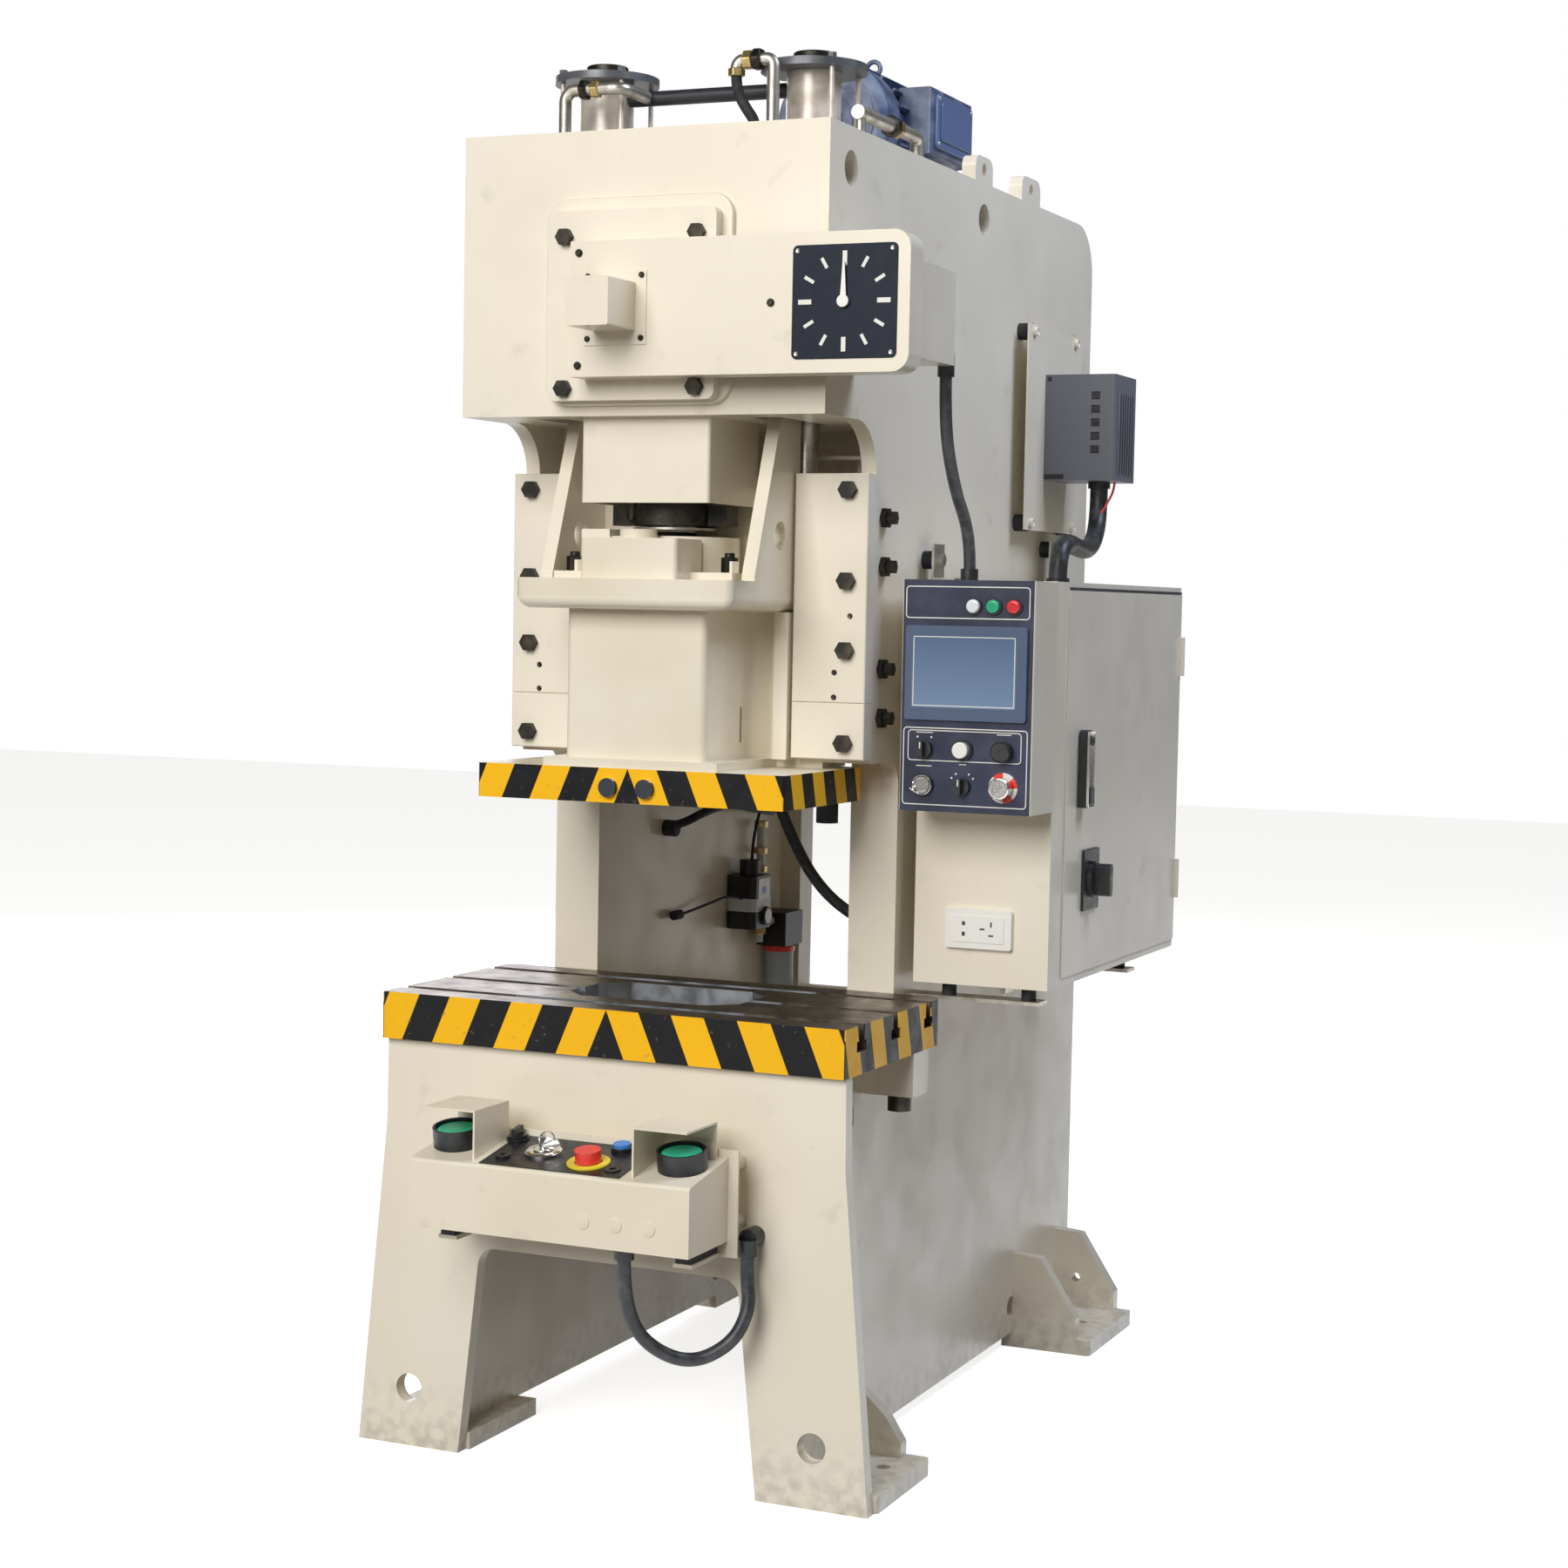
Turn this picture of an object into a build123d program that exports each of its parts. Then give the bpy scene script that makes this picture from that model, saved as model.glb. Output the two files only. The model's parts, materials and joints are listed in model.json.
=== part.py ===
from build123d import *
import math
import os

os.makedirs("parts", exist_ok=True)

# Sizes are in millimetres. X runs to the machine's right, Y to its back and Z up.
# While the pieces are made, Y starts at the front face of the head. The saved parts
# are moved so that the origin is the middle of the four floor anchors.

# Frame
FRAME_HALF = 313
PLATE = 25
FRAME_BACK = 1288
BED_TOP = 660
HEAD_BOTTOM = 1650
HEAD_TOP = 2089
FRONT_PLATE = 30
BACK_CORNER = 90
SIDE_INSIDE = FRAME_HALF - PLATE
COLUMN_FRONT = 333
COLUMN_BACK = 478
COLUMN_INSIDE = SIDE_INSIDE - 57
NECK_INSIDE = SIDE_INSIDE - 23
CHEEK_FRONT = COLUMN_FRONT - 122
CHEEK_CURVE = 80
CHEEK_BOTTOM = BED_TOP + 454
THROAT_CURVE = 40
REAR_FLANGE = 60
REAR_FLANGE_INSIDE = SIDE_INSIDE - 43
REAR_WALL_TOP = BED_TOP - 60
CEILING = HEAD_BOTTOM - 150
INNER_WALL_FRONT = 300
INNER_WALL = 35
REAR_WALL_FRONT = FRAME_BACK - 268
REAR_WALL = 40
SIDE_HOLE = 54
ROD_OPENING_HALF = 104
WING_OPENING = (158, 212)
LUGS = ((673, 43), (920, 50))
LUG_TOP = HEAD_TOP + 44

# Floor anchors and pads
ANCHOR_X = FRAME_HALF + 92
ANCHOR_FRONT_Y = 100
ANCHOR_REAR_Y = FRAME_BACK - 188
ANCHOR_MID_Y = (ANCHOR_FRONT_Y + ANCHOR_REAR_Y) / 2
ANCHOR_HOLE = 22
PAD = 28
FRONT_PAD_INSIDE = FRAME_HALF - 59
FRONT_PAD_OUTSIDE = ANCHOR_X + 47
FRONT_PAD_LENGTH = 220
REAR_PAD_INSIDE = FRAME_HALF - 20
REAR_PAD_OUTSIDE = ANCHOR_X + 58
REAR_PAD_LENGTH = 263
GUSSET = 25

# Apron, the front leg plate
APRON_FRONT = -65
APRON_BACK = APRON_FRONT + PLATE
APRON_TOP_HALF = FRAME_HALF + 84
APRON_BEND_HALF = APRON_TOP_HALF + 2
APRON_BEND_Z = BED_TOP - 140
APRON_FLOOR_HALF = APRON_TOP_HALF + 49
ARCH_TOP = BED_TOP - 323
ARCH_TOP_HALF = APRON_TOP_HALF - 172
ARCH_FLOOR_HALF = ARCH_TOP_HALF + 36
ARCH_CORNER = 30
LEG_HOLE = 47
LEG_HOLE_X = (ARCH_FLOOR_HALF + APRON_FLOOR_HALF) / 2 - 1

# Bolster
BOLSTER_HALF = FRAME_HALF + 87
BOLSTER_FRONT = APRON_FRONT - 13
BOLSTER_BACK = COLUMN_FRONT - 3
BOLSTER = 75
BOLSTER_TOP = BED_TOP + BOLSTER
BOLSTER_CORNER = 25
SLOT_GAP = 140
SLOT_WIDTH = 22
SLOT_DEPTH = 40
SLOT_HEAD_WIDTH = 37
SLOT_HEAD = 16
DIE_HOLE_X = 150
DIE_HOLE_Y = 90
DIE_HOLE_CORNER = 40

# Work axis, crank and strokes
WORK_Y = 135
CRANK_Z = HEAD_BOTTOM + 156
STROKE = 70
THROW = STROKE / 2
PIN_TOP_Z = CRANK_Z + THROW

# Gibs and ram
GIB = 36
GIB_FRONT = CHEEK_FRONT - GIB
GIB_INSIDE = COLUMN_INSIDE - 40.5
GIB_OUTSIDE = FRAME_HALF + 2
GIB_TOP = HEAD_BOTTOM - CHEEK_CURVE
GIB_BOTTOM = CHEEK_BOTTOM + 7
GIB_SPLIT = GIB_BOTTOM + 89
GUIDE_GAP = 0.05
GIB_BOLT_Z = (GIB_BOTTOM + 26, GIB_SPLIT + 83, GIB_TOP - 168, GIB_TOP - 26)
GIB_BOLT_X = FRAME_HALF - 31
ADJUSTER_Z = (GIB_BOTTOM + 65, GIB_SPLIT + 54, GIB_TOP - 144, GIB_TOP - 67)
ADJUSTER_Y = CHEEK_FRONT + 34
BOLT_R = 8
RAM_FLANGE_FRONT = CHEEK_FRONT + GUIDE_GAP
RAM_FLANGE_BACK = CHEEK_FRONT + 94
RAM_FLANGE_TOP = GIB_TOP - 25
RAM_FLANGE_HALF = COLUMN_INSIDE - GUIDE_GAP
RAM_BOTTOM = GIB_BOTTOM - 17
LEDGE_HALF = GIB_INSIDE - 3.5
RAM_BODY_HALF = LEDGE_HALF - 66
RAM_FOOT_HALF = RAM_BODY_HALF + 30
RAM_FOOT = 14
LEDGE_FRONT = -50
LEDGE_BOTTOM = RAM_BOTTOM + 247
LEDGE_TOP = LEDGE_BOTTOM + 47
WING = 22
WING_TOP = HEAD_BOTTOM + 50
SLIDE_PLATE_HALF = 266
SLIDE_PLATE_REACH = 153
SLIDE_PLATE = 54
SLIDE_BOTTOM = RAM_BOTTOM - SLIDE_PLATE
SHANK_HOLE = 38.1
SHANK_DEPTH = 60
STOP_X = 202
STOP_R = 18

# Crankshaft, rod and screw
JOURNAL_R = 45
PIN_R = 45
WEB_R = 62
WEB_JOURNAL_R = 60
WEB = 28
PIN_LENGTH = 90
PIN_FRONT = WORK_Y - PIN_LENGTH / 2
PIN_BACK = WORK_Y + PIN_LENGTH / 2
CRANK_STUB_R = 20
FLYWHEEL_SEAT_R = 40
BUSH_WALL = 10
RUNNING_GAP = 0.05
BUSH_R = JOURNAL_R + RUNNING_GAP
BUSH_OUTSIDE_R = BUSH_R + BUSH_WALL
OPEN_PIVOT_GAP = 0.5
ROD_WALL = 25
ROD_SIDE_GAP = 1
SLEEVE_R = 58
SCREW_R = 35
BALL_R = 45
BALL_Z = LEDGE_TOP + BALL_R + 3
RING_NUT_R = 72
RING_NUT = 32
RING_NUT_LUG = 100
SCREW_TOP = HEAD_BOTTOM
GUARD_HALF = 111
GUARD_FRONT = WORK_Y - GUARD_HALF
GUARD_BACK = CHEEK_FRONT - 6
GUARD_TOP = HEAD_BOTTOM
GUARD_BOTTOM = HEAD_BOTTOM - 133
SHEET = 3

# Drive
FLYWHEEL_R = 250
FLYWHEEL_GAP = 3
BELT_SLOT_HALF = FLYWHEEL_R - 85
FLYWHEEL_FRONT = REAR_WALL_FRONT + REAR_WALL + 25
FLYWHEEL_WIDTH = 110
MOTOR_R = 110
MOTOR_Z = HEAD_TOP + MOTOR_R + 22
MOTOR_FRONT = 730
MOTOR_BACK = FLYWHEEL_FRONT
MOTOR_EYE_Y = 928
PULLEY_R = 62
PULLEY_FRONT = FLYWHEEL_FRONT + 25
PULLEY_WIDTH = 60
MOTOR_SHAFT_R = 19
BELT_OFFSETS = (12, 35)
BELT_WIDTH = 13
BELT_THICK = 9
BELT_GAP = 0.3

# Balancers
BALANCER_X = 184
BALANCER_Y = CHEEK_FRONT + 21
BALANCER_R = 43.5
BALANCER_WALL = 5.5
BALANCER_FOOT = HEAD_TOP - 59
BALANCER_TOP = HEAD_TOP + 113
BALANCER_FLANGE_R = 85
PISTON_ROD_R = 20
PISTON = 20

# Air pipes on the head
PIPE_Y = 128
PIPE_R = 10
PIPE_BEND = 18
LEFT_PIPE_X = -205
RIGHT_PIPE_X = 160
HOSE_X = 97
CROSS_PIPE_Z = BALANCER_TOP - 24
HIGH_PIPE_Z = BALANCER_TOP + 6
HOSE_TOP = BALANCER_TOP - 16
CONDUIT_PIPE_X = SIDE_INSIDE + 2
CONDUIT_PIPE_Z = HEAD_TOP + 36

# Crank cover, dial and end cap
COVER_PAD = 10
COVER_PAD_SIZE = 320
COVER_FRONT = -33
COVER_WIDTH = 286
COVER_HEIGHT = 291
COVER_BOLT_X = 113
COVER_BOLT_Z = 116
DIAL_ARM_FRONT = COVER_FRONT - 52
DIAL_ARM_LEFT = -77
DIAL_ARM_RIGHT = FRAME_HALF + 166
DIAL_ARM_BOTTOM = CRANK_Z - 103
DIAL_ARM_TOP = CRANK_Z + 102
DIAL_ARM_CORNER = 27
DIAL_ARM_WALL = 4
DIAL_X = DIAL_ARM_RIGHT - 102
DIAL_ARM_SCREWS = ((-62, CRANK_Z + 84), (-62, CRANK_Z - 86), (259, CRANK_Z + 1))
POINTER_R = 6
POINTER_LENGTH = 57
CAP_FRONT = DIAL_ARM_FRONT - 92
CAM_BOX_BACK = 115

# Cabinet and pendant head
CABINET_LEFT = FRAME_HALF + 22
CABINET_RIGHT = CABINET_LEFT + 230
CABINET_FRONT = COLUMN_FRONT + 30
CABINET_BACK = CABINET_FRONT + 716
CABINET_BOTTOM = 753
CABINET_TOP = CABINET_BOTTOM + 655
CABINET_WALL = 3
CABINET_TABS = ((CABINET_FRONT + 66, CABINET_TOP + 33), (CABINET_BACK - 51, CABINET_TOP + 66))
ARM_Y = (CABINET_FRONT + 37, CABINET_BACK - 189)
ARM_TOP = CABINET_BOTTOM - 22
DOOR = 2
DOOR_GAP = 0.3
DOOR_INSIDE = CABINET_RIGHT + DOOR_GAP
DOOR_OUTSIDE = DOOR_INSIDE + DOOR
DOOR_FRONT = CABINET_FRONT + 65
HINGE_X = DOOR_OUTSIDE + 3
HINGE_Y = CABINET_BACK - 2
HANDLE_Y = DOOR_FRONT + 75
HANDLE_PIVOT_Z = CABINET_BOTTOM + 397
ISOLATOR_Y = DOOR_FRONT + 132
ISOLATOR_Z = CABINET_BOTTOM + 165
PANEL_LEFT = CABINET_LEFT + 11
PANEL_RIGHT = CABINET_RIGHT + 2
PANEL_FRONT = CABINET_FRONT - 111
PANEL_TOP = CABINET_TOP - 1
PANEL_BOTTOM = PANEL_TOP - 366
PANEL_ROW_1 = PANEL_BOTTOM + 99
PANEL_ROW_2 = PANEL_BOTTOM + 42
PANEL_COLUMNS = (PANEL_LEFT + 42, PANEL_LEFT + 107, PANEL_LEFT + 175)
LAMP_Z = PANEL_TOP - 41
LAMP_X = (PANEL_RIGHT - 101, PANEL_RIGHT - 68, PANEL_RIGHT - 34)
LAMP_R = 11
SCREEN_X = (PANEL_LEFT + 9, PANEL_RIGHT - 10)
SCREEN_Z = (PANEL_BOTTOM + 145, PANEL_TOP - 72)
CONTROL_STEM_R = 8
STEM_GAP = 0.3

# Inverter
INVERTER_PLATE = 3
INVERTER_GAP = 25
INVERTER_PLATE_X = (FRAME_HALF + INVERTER_GAP, FRAME_HALF + INVERTER_GAP + INVERTER_PLATE)
INVERTER_RIGHT = INVERTER_PLATE_X[1] + 131
INVERTER_FRONT = 944
INVERTER_DEPTH = 131
INVERTER_Y = (INVERTER_FRONT, INVERTER_FRONT + INVERTER_DEPTH)
INVERTER_BOTTOM = 1597
INVERTER_TOP = INVERTER_BOTTOM + 189
INVERTER_BUFFERS = (
    (INVERTER_Y[0] - 68, INVERTER_TOP + 71), (INVERTER_Y[1] + 36, INVERTER_TOP + 71),
    (INVERTER_Y[0] - 68, INVERTER_BOTTOM - 79), (INVERTER_Y[1] + 36, INVERTER_BOTTOM - 79),
)

# Two-hand station
STATION_HALF = 236
STATION_BACK = APRON_FRONT - 63
STATION_FRONT = STATION_BACK - 134
STATION_BOTTOM = 410
STATION_FRONT_TOP = STATION_BOTTOM + 104
STATION_BACK_TOP = STATION_FRONT_TOP + 23
STATION_SLOPE = math.atan2(STATION_BACK_TOP - STATION_FRONT_TOP, STATION_BACK - STATION_FRONT)
STATION_PAD_X = (-STATION_HALF + 45, STATION_HALF - 28)
BRACKET_HALF = STATION_HALF + 16
BRACKET_Z = (STATION_BOTTOM - 24, STATION_BACK_TOP + 11)
PALM_R = 33
PALM_PLACES = ((-STATION_HALF + 43, STATION_BACK - 62), (STATION_HALF - 46, STATION_BACK - 62))
STATION_CONTROLS = (
    (-44, STATION_BACK - 63), (44, STATION_BACK - 83),
    (68, STATION_BACK - 20), (-112, STATION_BACK - 20),
)
GUARD_INNER = STATION_HALF - 103
GUARD_OUTER = STATION_HALF - 14
GUARD_TOP_Z = STATION_BACK_TOP + 55
GUARD_Y = (STATION_FRONT + 17, STATION_BACK - 12)
PALM_TRAVEL = 6
BUTTON_TRAVEL = 4

# Cords: their diameters and the points of their runs
CONDUIT = 19
ARM_CONDUIT_TOP = DIAL_ARM_BOTTOM + 10
ARM_CONDUIT_X = DIAL_ARM_RIGHT - 24
GLAND_TOP = PANEL_TOP + 18
ARM_CONDUIT = [
    (ARM_CONDUIT_X, 133, ARM_CONDUIT_TOP), (ARM_CONDUIT_X, 133, ARM_CONDUIT_TOP - 43),
    (ARM_CONDUIT_X - 1, 150, ARM_CONDUIT_TOP - 108), (ARM_CONDUIT_X - 6, 208, GLAND_TOP + 112),
    (ARM_CONDUIT_X - 10, PANEL_FRONT + 10, GLAND_TOP + 75),
    (ARM_CONDUIT_X - 12, PANEL_FRONT + 38, GLAND_TOP + 30), (ARM_CONDUIT_X - 12, PANEL_FRONT + 38, GLAND_TOP),
]
STATION_CONDUIT_SIZE = 21
STATION_CONDUIT_TOP = STATION_BOTTOM - 18
STATION_CONDUIT = [
    (118, STATION_FRONT + 27, STATION_CONDUIT_TOP), (118, STATION_FRONT + 27, STATION_CONDUIT_TOP - 57),
    (134, STATION_FRONT + 54, STATION_CONDUIT_TOP - 128),
    (190, APRON_FRONT - 95, STATION_CONDUIT_TOP - 168),
    (246, APRON_FRONT - 60, STATION_CONDUIT_TOP - 138), (264, APRON_FRONT - 38, STATION_CONDUIT_TOP - 86),
    (255, APRON_FRONT - 31, STATION_CONDUIT_TOP - 42), (255, APRON_FRONT - 31, STATION_CONDUIT_TOP - 8),
]
BUNDLE = 32
BUNDLE_X = CABINET_LEFT + 115
BUNDLE_TOP = INVERTER_BOTTOM - 12
BUNDLE_END = CABINET_TOP + 10
INVERTER_CABLE = [
    (BUNDLE_X - 25, INVERTER_Y[0] + 68, BUNDLE_TOP), (BUNDLE_X - 25, INVERTER_Y[0] + 68, BUNDLE_TOP - 40),
    (BUNDLE_X - 19, INVERTER_Y[0] + 36, BUNDLE_TOP - 85), (BUNDLE_X - 8, 905, BUNDLE_END + 52),
    (BUNDLE_X - 1, 825, BUNDLE_END + 54), (BUNDLE_X + 1, 752, BUNDLE_END + 64),
    (BUNDLE_X, 712, BUNDLE_END + 40), (BUNDLE_X, 712, BUNDLE_END),
]
HOSE = 17
AIR_HOSE = [
    (HOSE_X, PIPE_Y, HOSE_TOP), (HOSE_X, PIPE_Y, HOSE_TOP - 22), (HOSE_X + 15, PIPE_Y + 2, HOSE_TOP - 50),
    (HOSE_X + 33, PIPE_Y + 4, HEAD_TOP + 23), (HOSE_X + 33, PIPE_Y + 4, HEAD_TOP),
]


def block(x, y, z):
    """A rectangular block between two limits on each axis."""
    centre = Pos(sum(x) / 2, sum(y) / 2, sum(z) / 2)
    return centre * Box(x[1] - x[0], y[1] - y[0], z[1] - z[0])


def bar_x(y, z, x, radius):
    """A round bar along X."""
    return Pos(sum(x) / 2, y, z) * Rot(0, 90, 0) * Cylinder(radius, x[1] - x[0])


def bar_y(x, z, y, radius):
    """A round bar along Y."""
    return Pos(x, sum(y) / 2, z) * Rot(90, 0, 0) * Cylinder(radius, y[1] - y[0])


def bar_z(x, y, z, radius):
    """A round bar along Z."""
    return Pos(x, y, sum(z) / 2) * Cylinder(radius, z[1] - z[0])


def outline(points, radii=None):
    """A flat outline, with the radius of each corner that is rounded."""
    face = make_face(Polyline(*points, close=True))
    for index, radius in (radii or {}).items():
        corner = Vector(*points[index])
        face = fillet(face.vertices().sort_by_distance(corner)[0], radius)
    return face


def plate_x(face, x):
    """An outline in Y and Z, made solid along X."""
    return extrude(Plane.YZ.offset(x[0]) * face, x[1] - x[0])


def plate_y(face, y):
    """An outline in X and Z, made solid along Y."""
    return extrude(Plane.XZ.offset(-y[1]) * face, y[1] - y[0])


def plate_z(face, z):
    """An outline in X and Y, made solid along Z."""
    return extrude(Plane.XY.offset(z[0]) * face, z[1] - z[0])


def hex_y(x, z, y, across):
    """A hexagonal head along Y."""
    return plate_y(Pos(x, z) * RegularPolygon(across / 2, 6, major_radius=False), y)


def hex_x(y, z, x, across):
    """A hexagonal head along X."""
    return plate_x(Pos(y, z) * RegularPolygon(across / 2, 6, major_radius=False), x)


def both_sides(shape):
    """A piece on the right and its mirror image on the left."""
    return [shape, mirror(shape, Plane.YZ)]


def group(shapes):
    """Separate solids that belong to one node."""
    return Compound([solid for shape in shapes for solid in shape.solids()])


def fuse(first, *others):
    """Welded or cast pieces made one."""
    result = first
    for other in others:
        result = result + other
    return result


def cord(label, points, diameter):
    """A cord's tube: straight runs joined by arcs as large as the runs allow."""
    vectors = [Vector(*point) for point in points]
    radii = []
    for before, corner, after in zip(vectors, vectors[1:], vectors[2:]):
        run_in = corner - before
        run_out = after - corner
        turn = math.radians(run_in.get_angle(run_out))
        shorter = min(run_in.length, run_out.length)
        radii.append(0.45 * shorter / math.tan(turn / 2))
    path = FilletPolyline(*vectors, radius=radii)
    section = Plane(origin=path @ 0, z_dir=path % 0) * Circle(diameter / 2)
    tube = sweep(section, path=path)
    expected = math.pi * diameter**2 / 4 * path.length
    print(label, "radii", [round(radius) for radius in radii], "length", round(path.length, 1),
          "volume ratio", round(tube.volume / expected, 4))
    return tube


def die_hole(z):
    """The eight-sided hole through bolster and bed."""
    x, y, c = DIE_HOLE_X, DIE_HOLE_Y, DIE_HOLE_CORNER
    corners = [(-x + c, -y), (x - c, -y), (x, -y + c), (x, y - c),
               (x - c, y), (-x + c, y), (-x, y - c), (-x, -y + c)]
    return plate_z(Pos(0, WORK_Y) * outline(corners), z)


# Side frame with its column, cheek, rear flange, feet and lifting lugs

def side_plate():
    corners = [
        (APRON_BACK, PAD), (FRAME_BACK, PAD), (FRAME_BACK, HEAD_TOP), (FRONT_PLATE, HEAD_TOP),
        (FRONT_PLATE, HEAD_BOTTOM), (CHEEK_FRONT, HEAD_BOTTOM), (CHEEK_FRONT, CHEEK_BOTTOM),
        (COLUMN_FRONT, CHEEK_BOTTOM), (COLUMN_FRONT, BED_TOP), (APRON_BACK, BED_TOP),
    ]
    face = outline(corners, {2: BACK_CORNER, 5: CHEEK_CURVE, 7: THROAT_CURVE})
    for y, half in LUGS:
        lug = outline([(y - half, HEAD_TOP - 1), (y + half, HEAD_TOP - 1),
                       (y + half, LUG_TOP), (y - half, LUG_TOP)], {2: 20, 3: 20})
        face = face + lug - Pos(y, LUG_TOP - 22) * Circle(11)
    for y, z, diameter in ((84, HEAD_TOP - 63, SIDE_HOLE), (678, HEAD_TOP - 62, SIDE_HOLE),
                           (958, PAD + 49, 40)):
        face = face - Pos(y, z) * Circle(diameter / 2)
    face = face - Pos(166, BED_TOP - 103) * SlotCenterToCenter(18, 12, rotation=90)
    return plate_x(face, (SIDE_INSIDE, FRAME_HALF))


def column():
    """Column and cheek in one block, with the guide behind the ram's flange."""
    shaft = block((COLUMN_INSIDE, SIDE_INSIDE), (COLUMN_FRONT, COLUMN_BACK), (BED_TOP, HEAD_BOTTOM))
    cheek = block((COLUMN_INSIDE, SIDE_INSIDE), (CHEEK_FRONT, COLUMN_FRONT), (CHEEK_BOTTOM, GIB_TOP))
    neck = outline([(NECK_INSIDE, GIB_TOP), (SIDE_INSIDE, GIB_TOP), (SIDE_INSIDE, HEAD_BOTTOM),
                    (NECK_INSIDE - 30, HEAD_BOTTOM), (NECK_INSIDE, HEAD_BOTTOM - 30)])
    neck = plate_y(neck, (CHEEK_FRONT + CHEEK_CURVE, COLUMN_FRONT))
    guide = block((GIB_INSIDE, COLUMN_INSIDE), (RAM_FLANGE_BACK + GUIDE_GAP, COLUMN_FRONT),
                  (CHEEK_BOTTOM, RAM_FLANGE_TOP))
    return [shaft, cheek, neck, guide]


def feet():
    front_back = APRON_BACK + FRONT_PAD_LENGTH
    front = block((FRONT_PAD_INSIDE, FRONT_PAD_OUTSIDE), (APRON_BACK, front_back), (0, PAD))
    front = fillet(front.edges().filter_by(Axis.Z).group_by(Axis.X)[-1], 8)
    front = front - bar_z(ANCHOR_X, ANCHOR_FRONT_Y, (0, PAD), ANCHOR_HOLE / 2)
    rear_front = ANCHOR_REAR_Y - REAR_PAD_LENGTH / 2
    rear_back = ANCHOR_REAR_Y + REAR_PAD_LENGTH / 2
    rear = block((REAR_PAD_INSIDE, REAR_PAD_OUTSIDE), (rear_front, rear_back), (0, PAD))
    rear = fillet(rear.edges().filter_by(Axis.Z).group_by(Axis.X)[-1], 8)
    rear = rear - bar_z(ANCHOR_X, ANCHOR_REAR_Y, (0, PAD), ANCHOR_HOLE / 2)
    front_gusset = outline([(FRAME_HALF, PAD), (ANCHOR_X + 7, PAD), (ANCHOR_X + 7, PAD + 22),
                            (ANCHOR_X - 18, PAD + 60), (ANCHOR_X - 51, PAD + 91), (FRAME_HALF, PAD + 112)])
    rear_gusset = outline([(FRAME_HALF, PAD), (ANCHOR_X + 30, PAD), (ANCHOR_X + 30, PAD + 37),
                           (ANCHOR_X - 39, PAD + 143), (FRAME_HALF, PAD + 147)])
    drilled = rear_gusset - Pos(ANCHOR_X - 47, PAD + 57) * Circle(8.5)
    return [
        front, rear,
        plate_y(front_gusset, (front_back - GUSSET, front_back)),
        plate_y(rear_gusset, (rear_front, rear_front + GUSSET)),
        plate_y(drilled, (rear_back - GUSSET, rear_back)),
    ]


def frame_side():
    rear_flange = block((REAR_FLANGE_INSIDE, SIDE_INSIDE), (FRAME_BACK - REAR_FLANGE, FRAME_BACK),
                        (PAD, CEILING))
    support = block((FRAME_HALF, BOLSTER_HALF), (BOLSTER_BACK - 125, BOLSTER_BACK - 60),
                    (BED_TOP - 70, BED_TOP))
    shape = fuse(side_plate(), *column(), rear_flange, support, *feet())
    for z in GIB_BOLT_Z:
        shape = shape - bar_y(GIB_BOLT_X, z, (CHEEK_FRONT, CHEEK_FRONT + 30), BOLT_R)
    for z in ADJUSTER_Z:
        shape = shape - bar_x(ADJUSTER_Y, z, (COLUMN_INSIDE, FRAME_HALF), BOLT_R)
    return shape


def leg_apron():
    """Front leg plate with its arch and two round holes."""
    corners = [
        (-APRON_FLOOR_HALF, 0), (-APRON_BEND_HALF, APRON_BEND_Z), (-APRON_TOP_HALF, BED_TOP),
        (APRON_TOP_HALF, BED_TOP), (APRON_BEND_HALF, APRON_BEND_Z), (APRON_FLOOR_HALF, 0),
        (ARCH_FLOOR_HALF, 0), (ARCH_TOP_HALF, ARCH_TOP), (-ARCH_TOP_HALF, ARCH_TOP),
        (-ARCH_FLOOR_HALF, 0),
    ]
    face = outline(corners, {7: ARCH_CORNER, 8: ARCH_CORNER})
    for x in (-LEG_HOLE_X, LEG_HOLE_X):
        face = face - Pos(x, 94) * Circle(LEG_HOLE / 2)
    return plate_y(face, (APRON_FRONT, APRON_BACK))


def bed():
    """Bed plate with the die hole, the wall behind it and the low rear wall."""
    top = block((-SIDE_INSIDE, SIDE_INSIDE), (APRON_BACK, COLUMN_BACK), (BED_TOP - PLATE, BED_TOP))
    top = top - die_hole((BED_TOP - PLATE, BED_TOP))
    wall = block((-SIDE_INSIDE, SIDE_INSIDE), (COLUMN_BACK - PLATE, COLUMN_BACK),
                 (ARCH_TOP, BED_TOP - PLATE))
    low = block((-REAR_FLANGE_INSIDE, REAR_FLANGE_INSIDE), (FRAME_BACK - PLATE, FRAME_BACK),
                (PAD, REAR_WALL_TOP))
    return group([fuse(top, wall), low])


def bolster():
    """Table plate with three T-slots and the die hole."""
    middle = (BOLSTER_FRONT + BOLSTER_BACK) / 2
    corners = [(-BOLSTER_HALF, BOLSTER_FRONT), (BOLSTER_HALF, BOLSTER_FRONT),
               (BOLSTER_HALF, BOLSTER_BACK), (-BOLSTER_HALF, BOLSTER_BACK)]
    shape = plate_z(outline(corners, {2: BOLSTER_CORNER, 3: BOLSTER_CORNER}), (BED_TOP, BOLSTER_TOP))
    whole = (-BOLSTER_HALF, BOLSTER_HALF)
    head_bottom = BOLSTER_TOP - SLOT_DEPTH
    for y in (middle - SLOT_GAP, middle, middle + SLOT_GAP):
        shape = shape - block(whole, (y - SLOT_WIDTH / 2, y + SLOT_WIDTH / 2),
                              (head_bottom, BOLSTER_TOP))
        shape = shape - block(whole, (y - SLOT_HEAD_WIDTH / 2, y + SLOT_HEAD_WIDTH / 2),
                              (head_bottom, head_bottom + SLOT_HEAD))
    return shape - die_hole((BED_TOP, BOLSTER_TOP))


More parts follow.
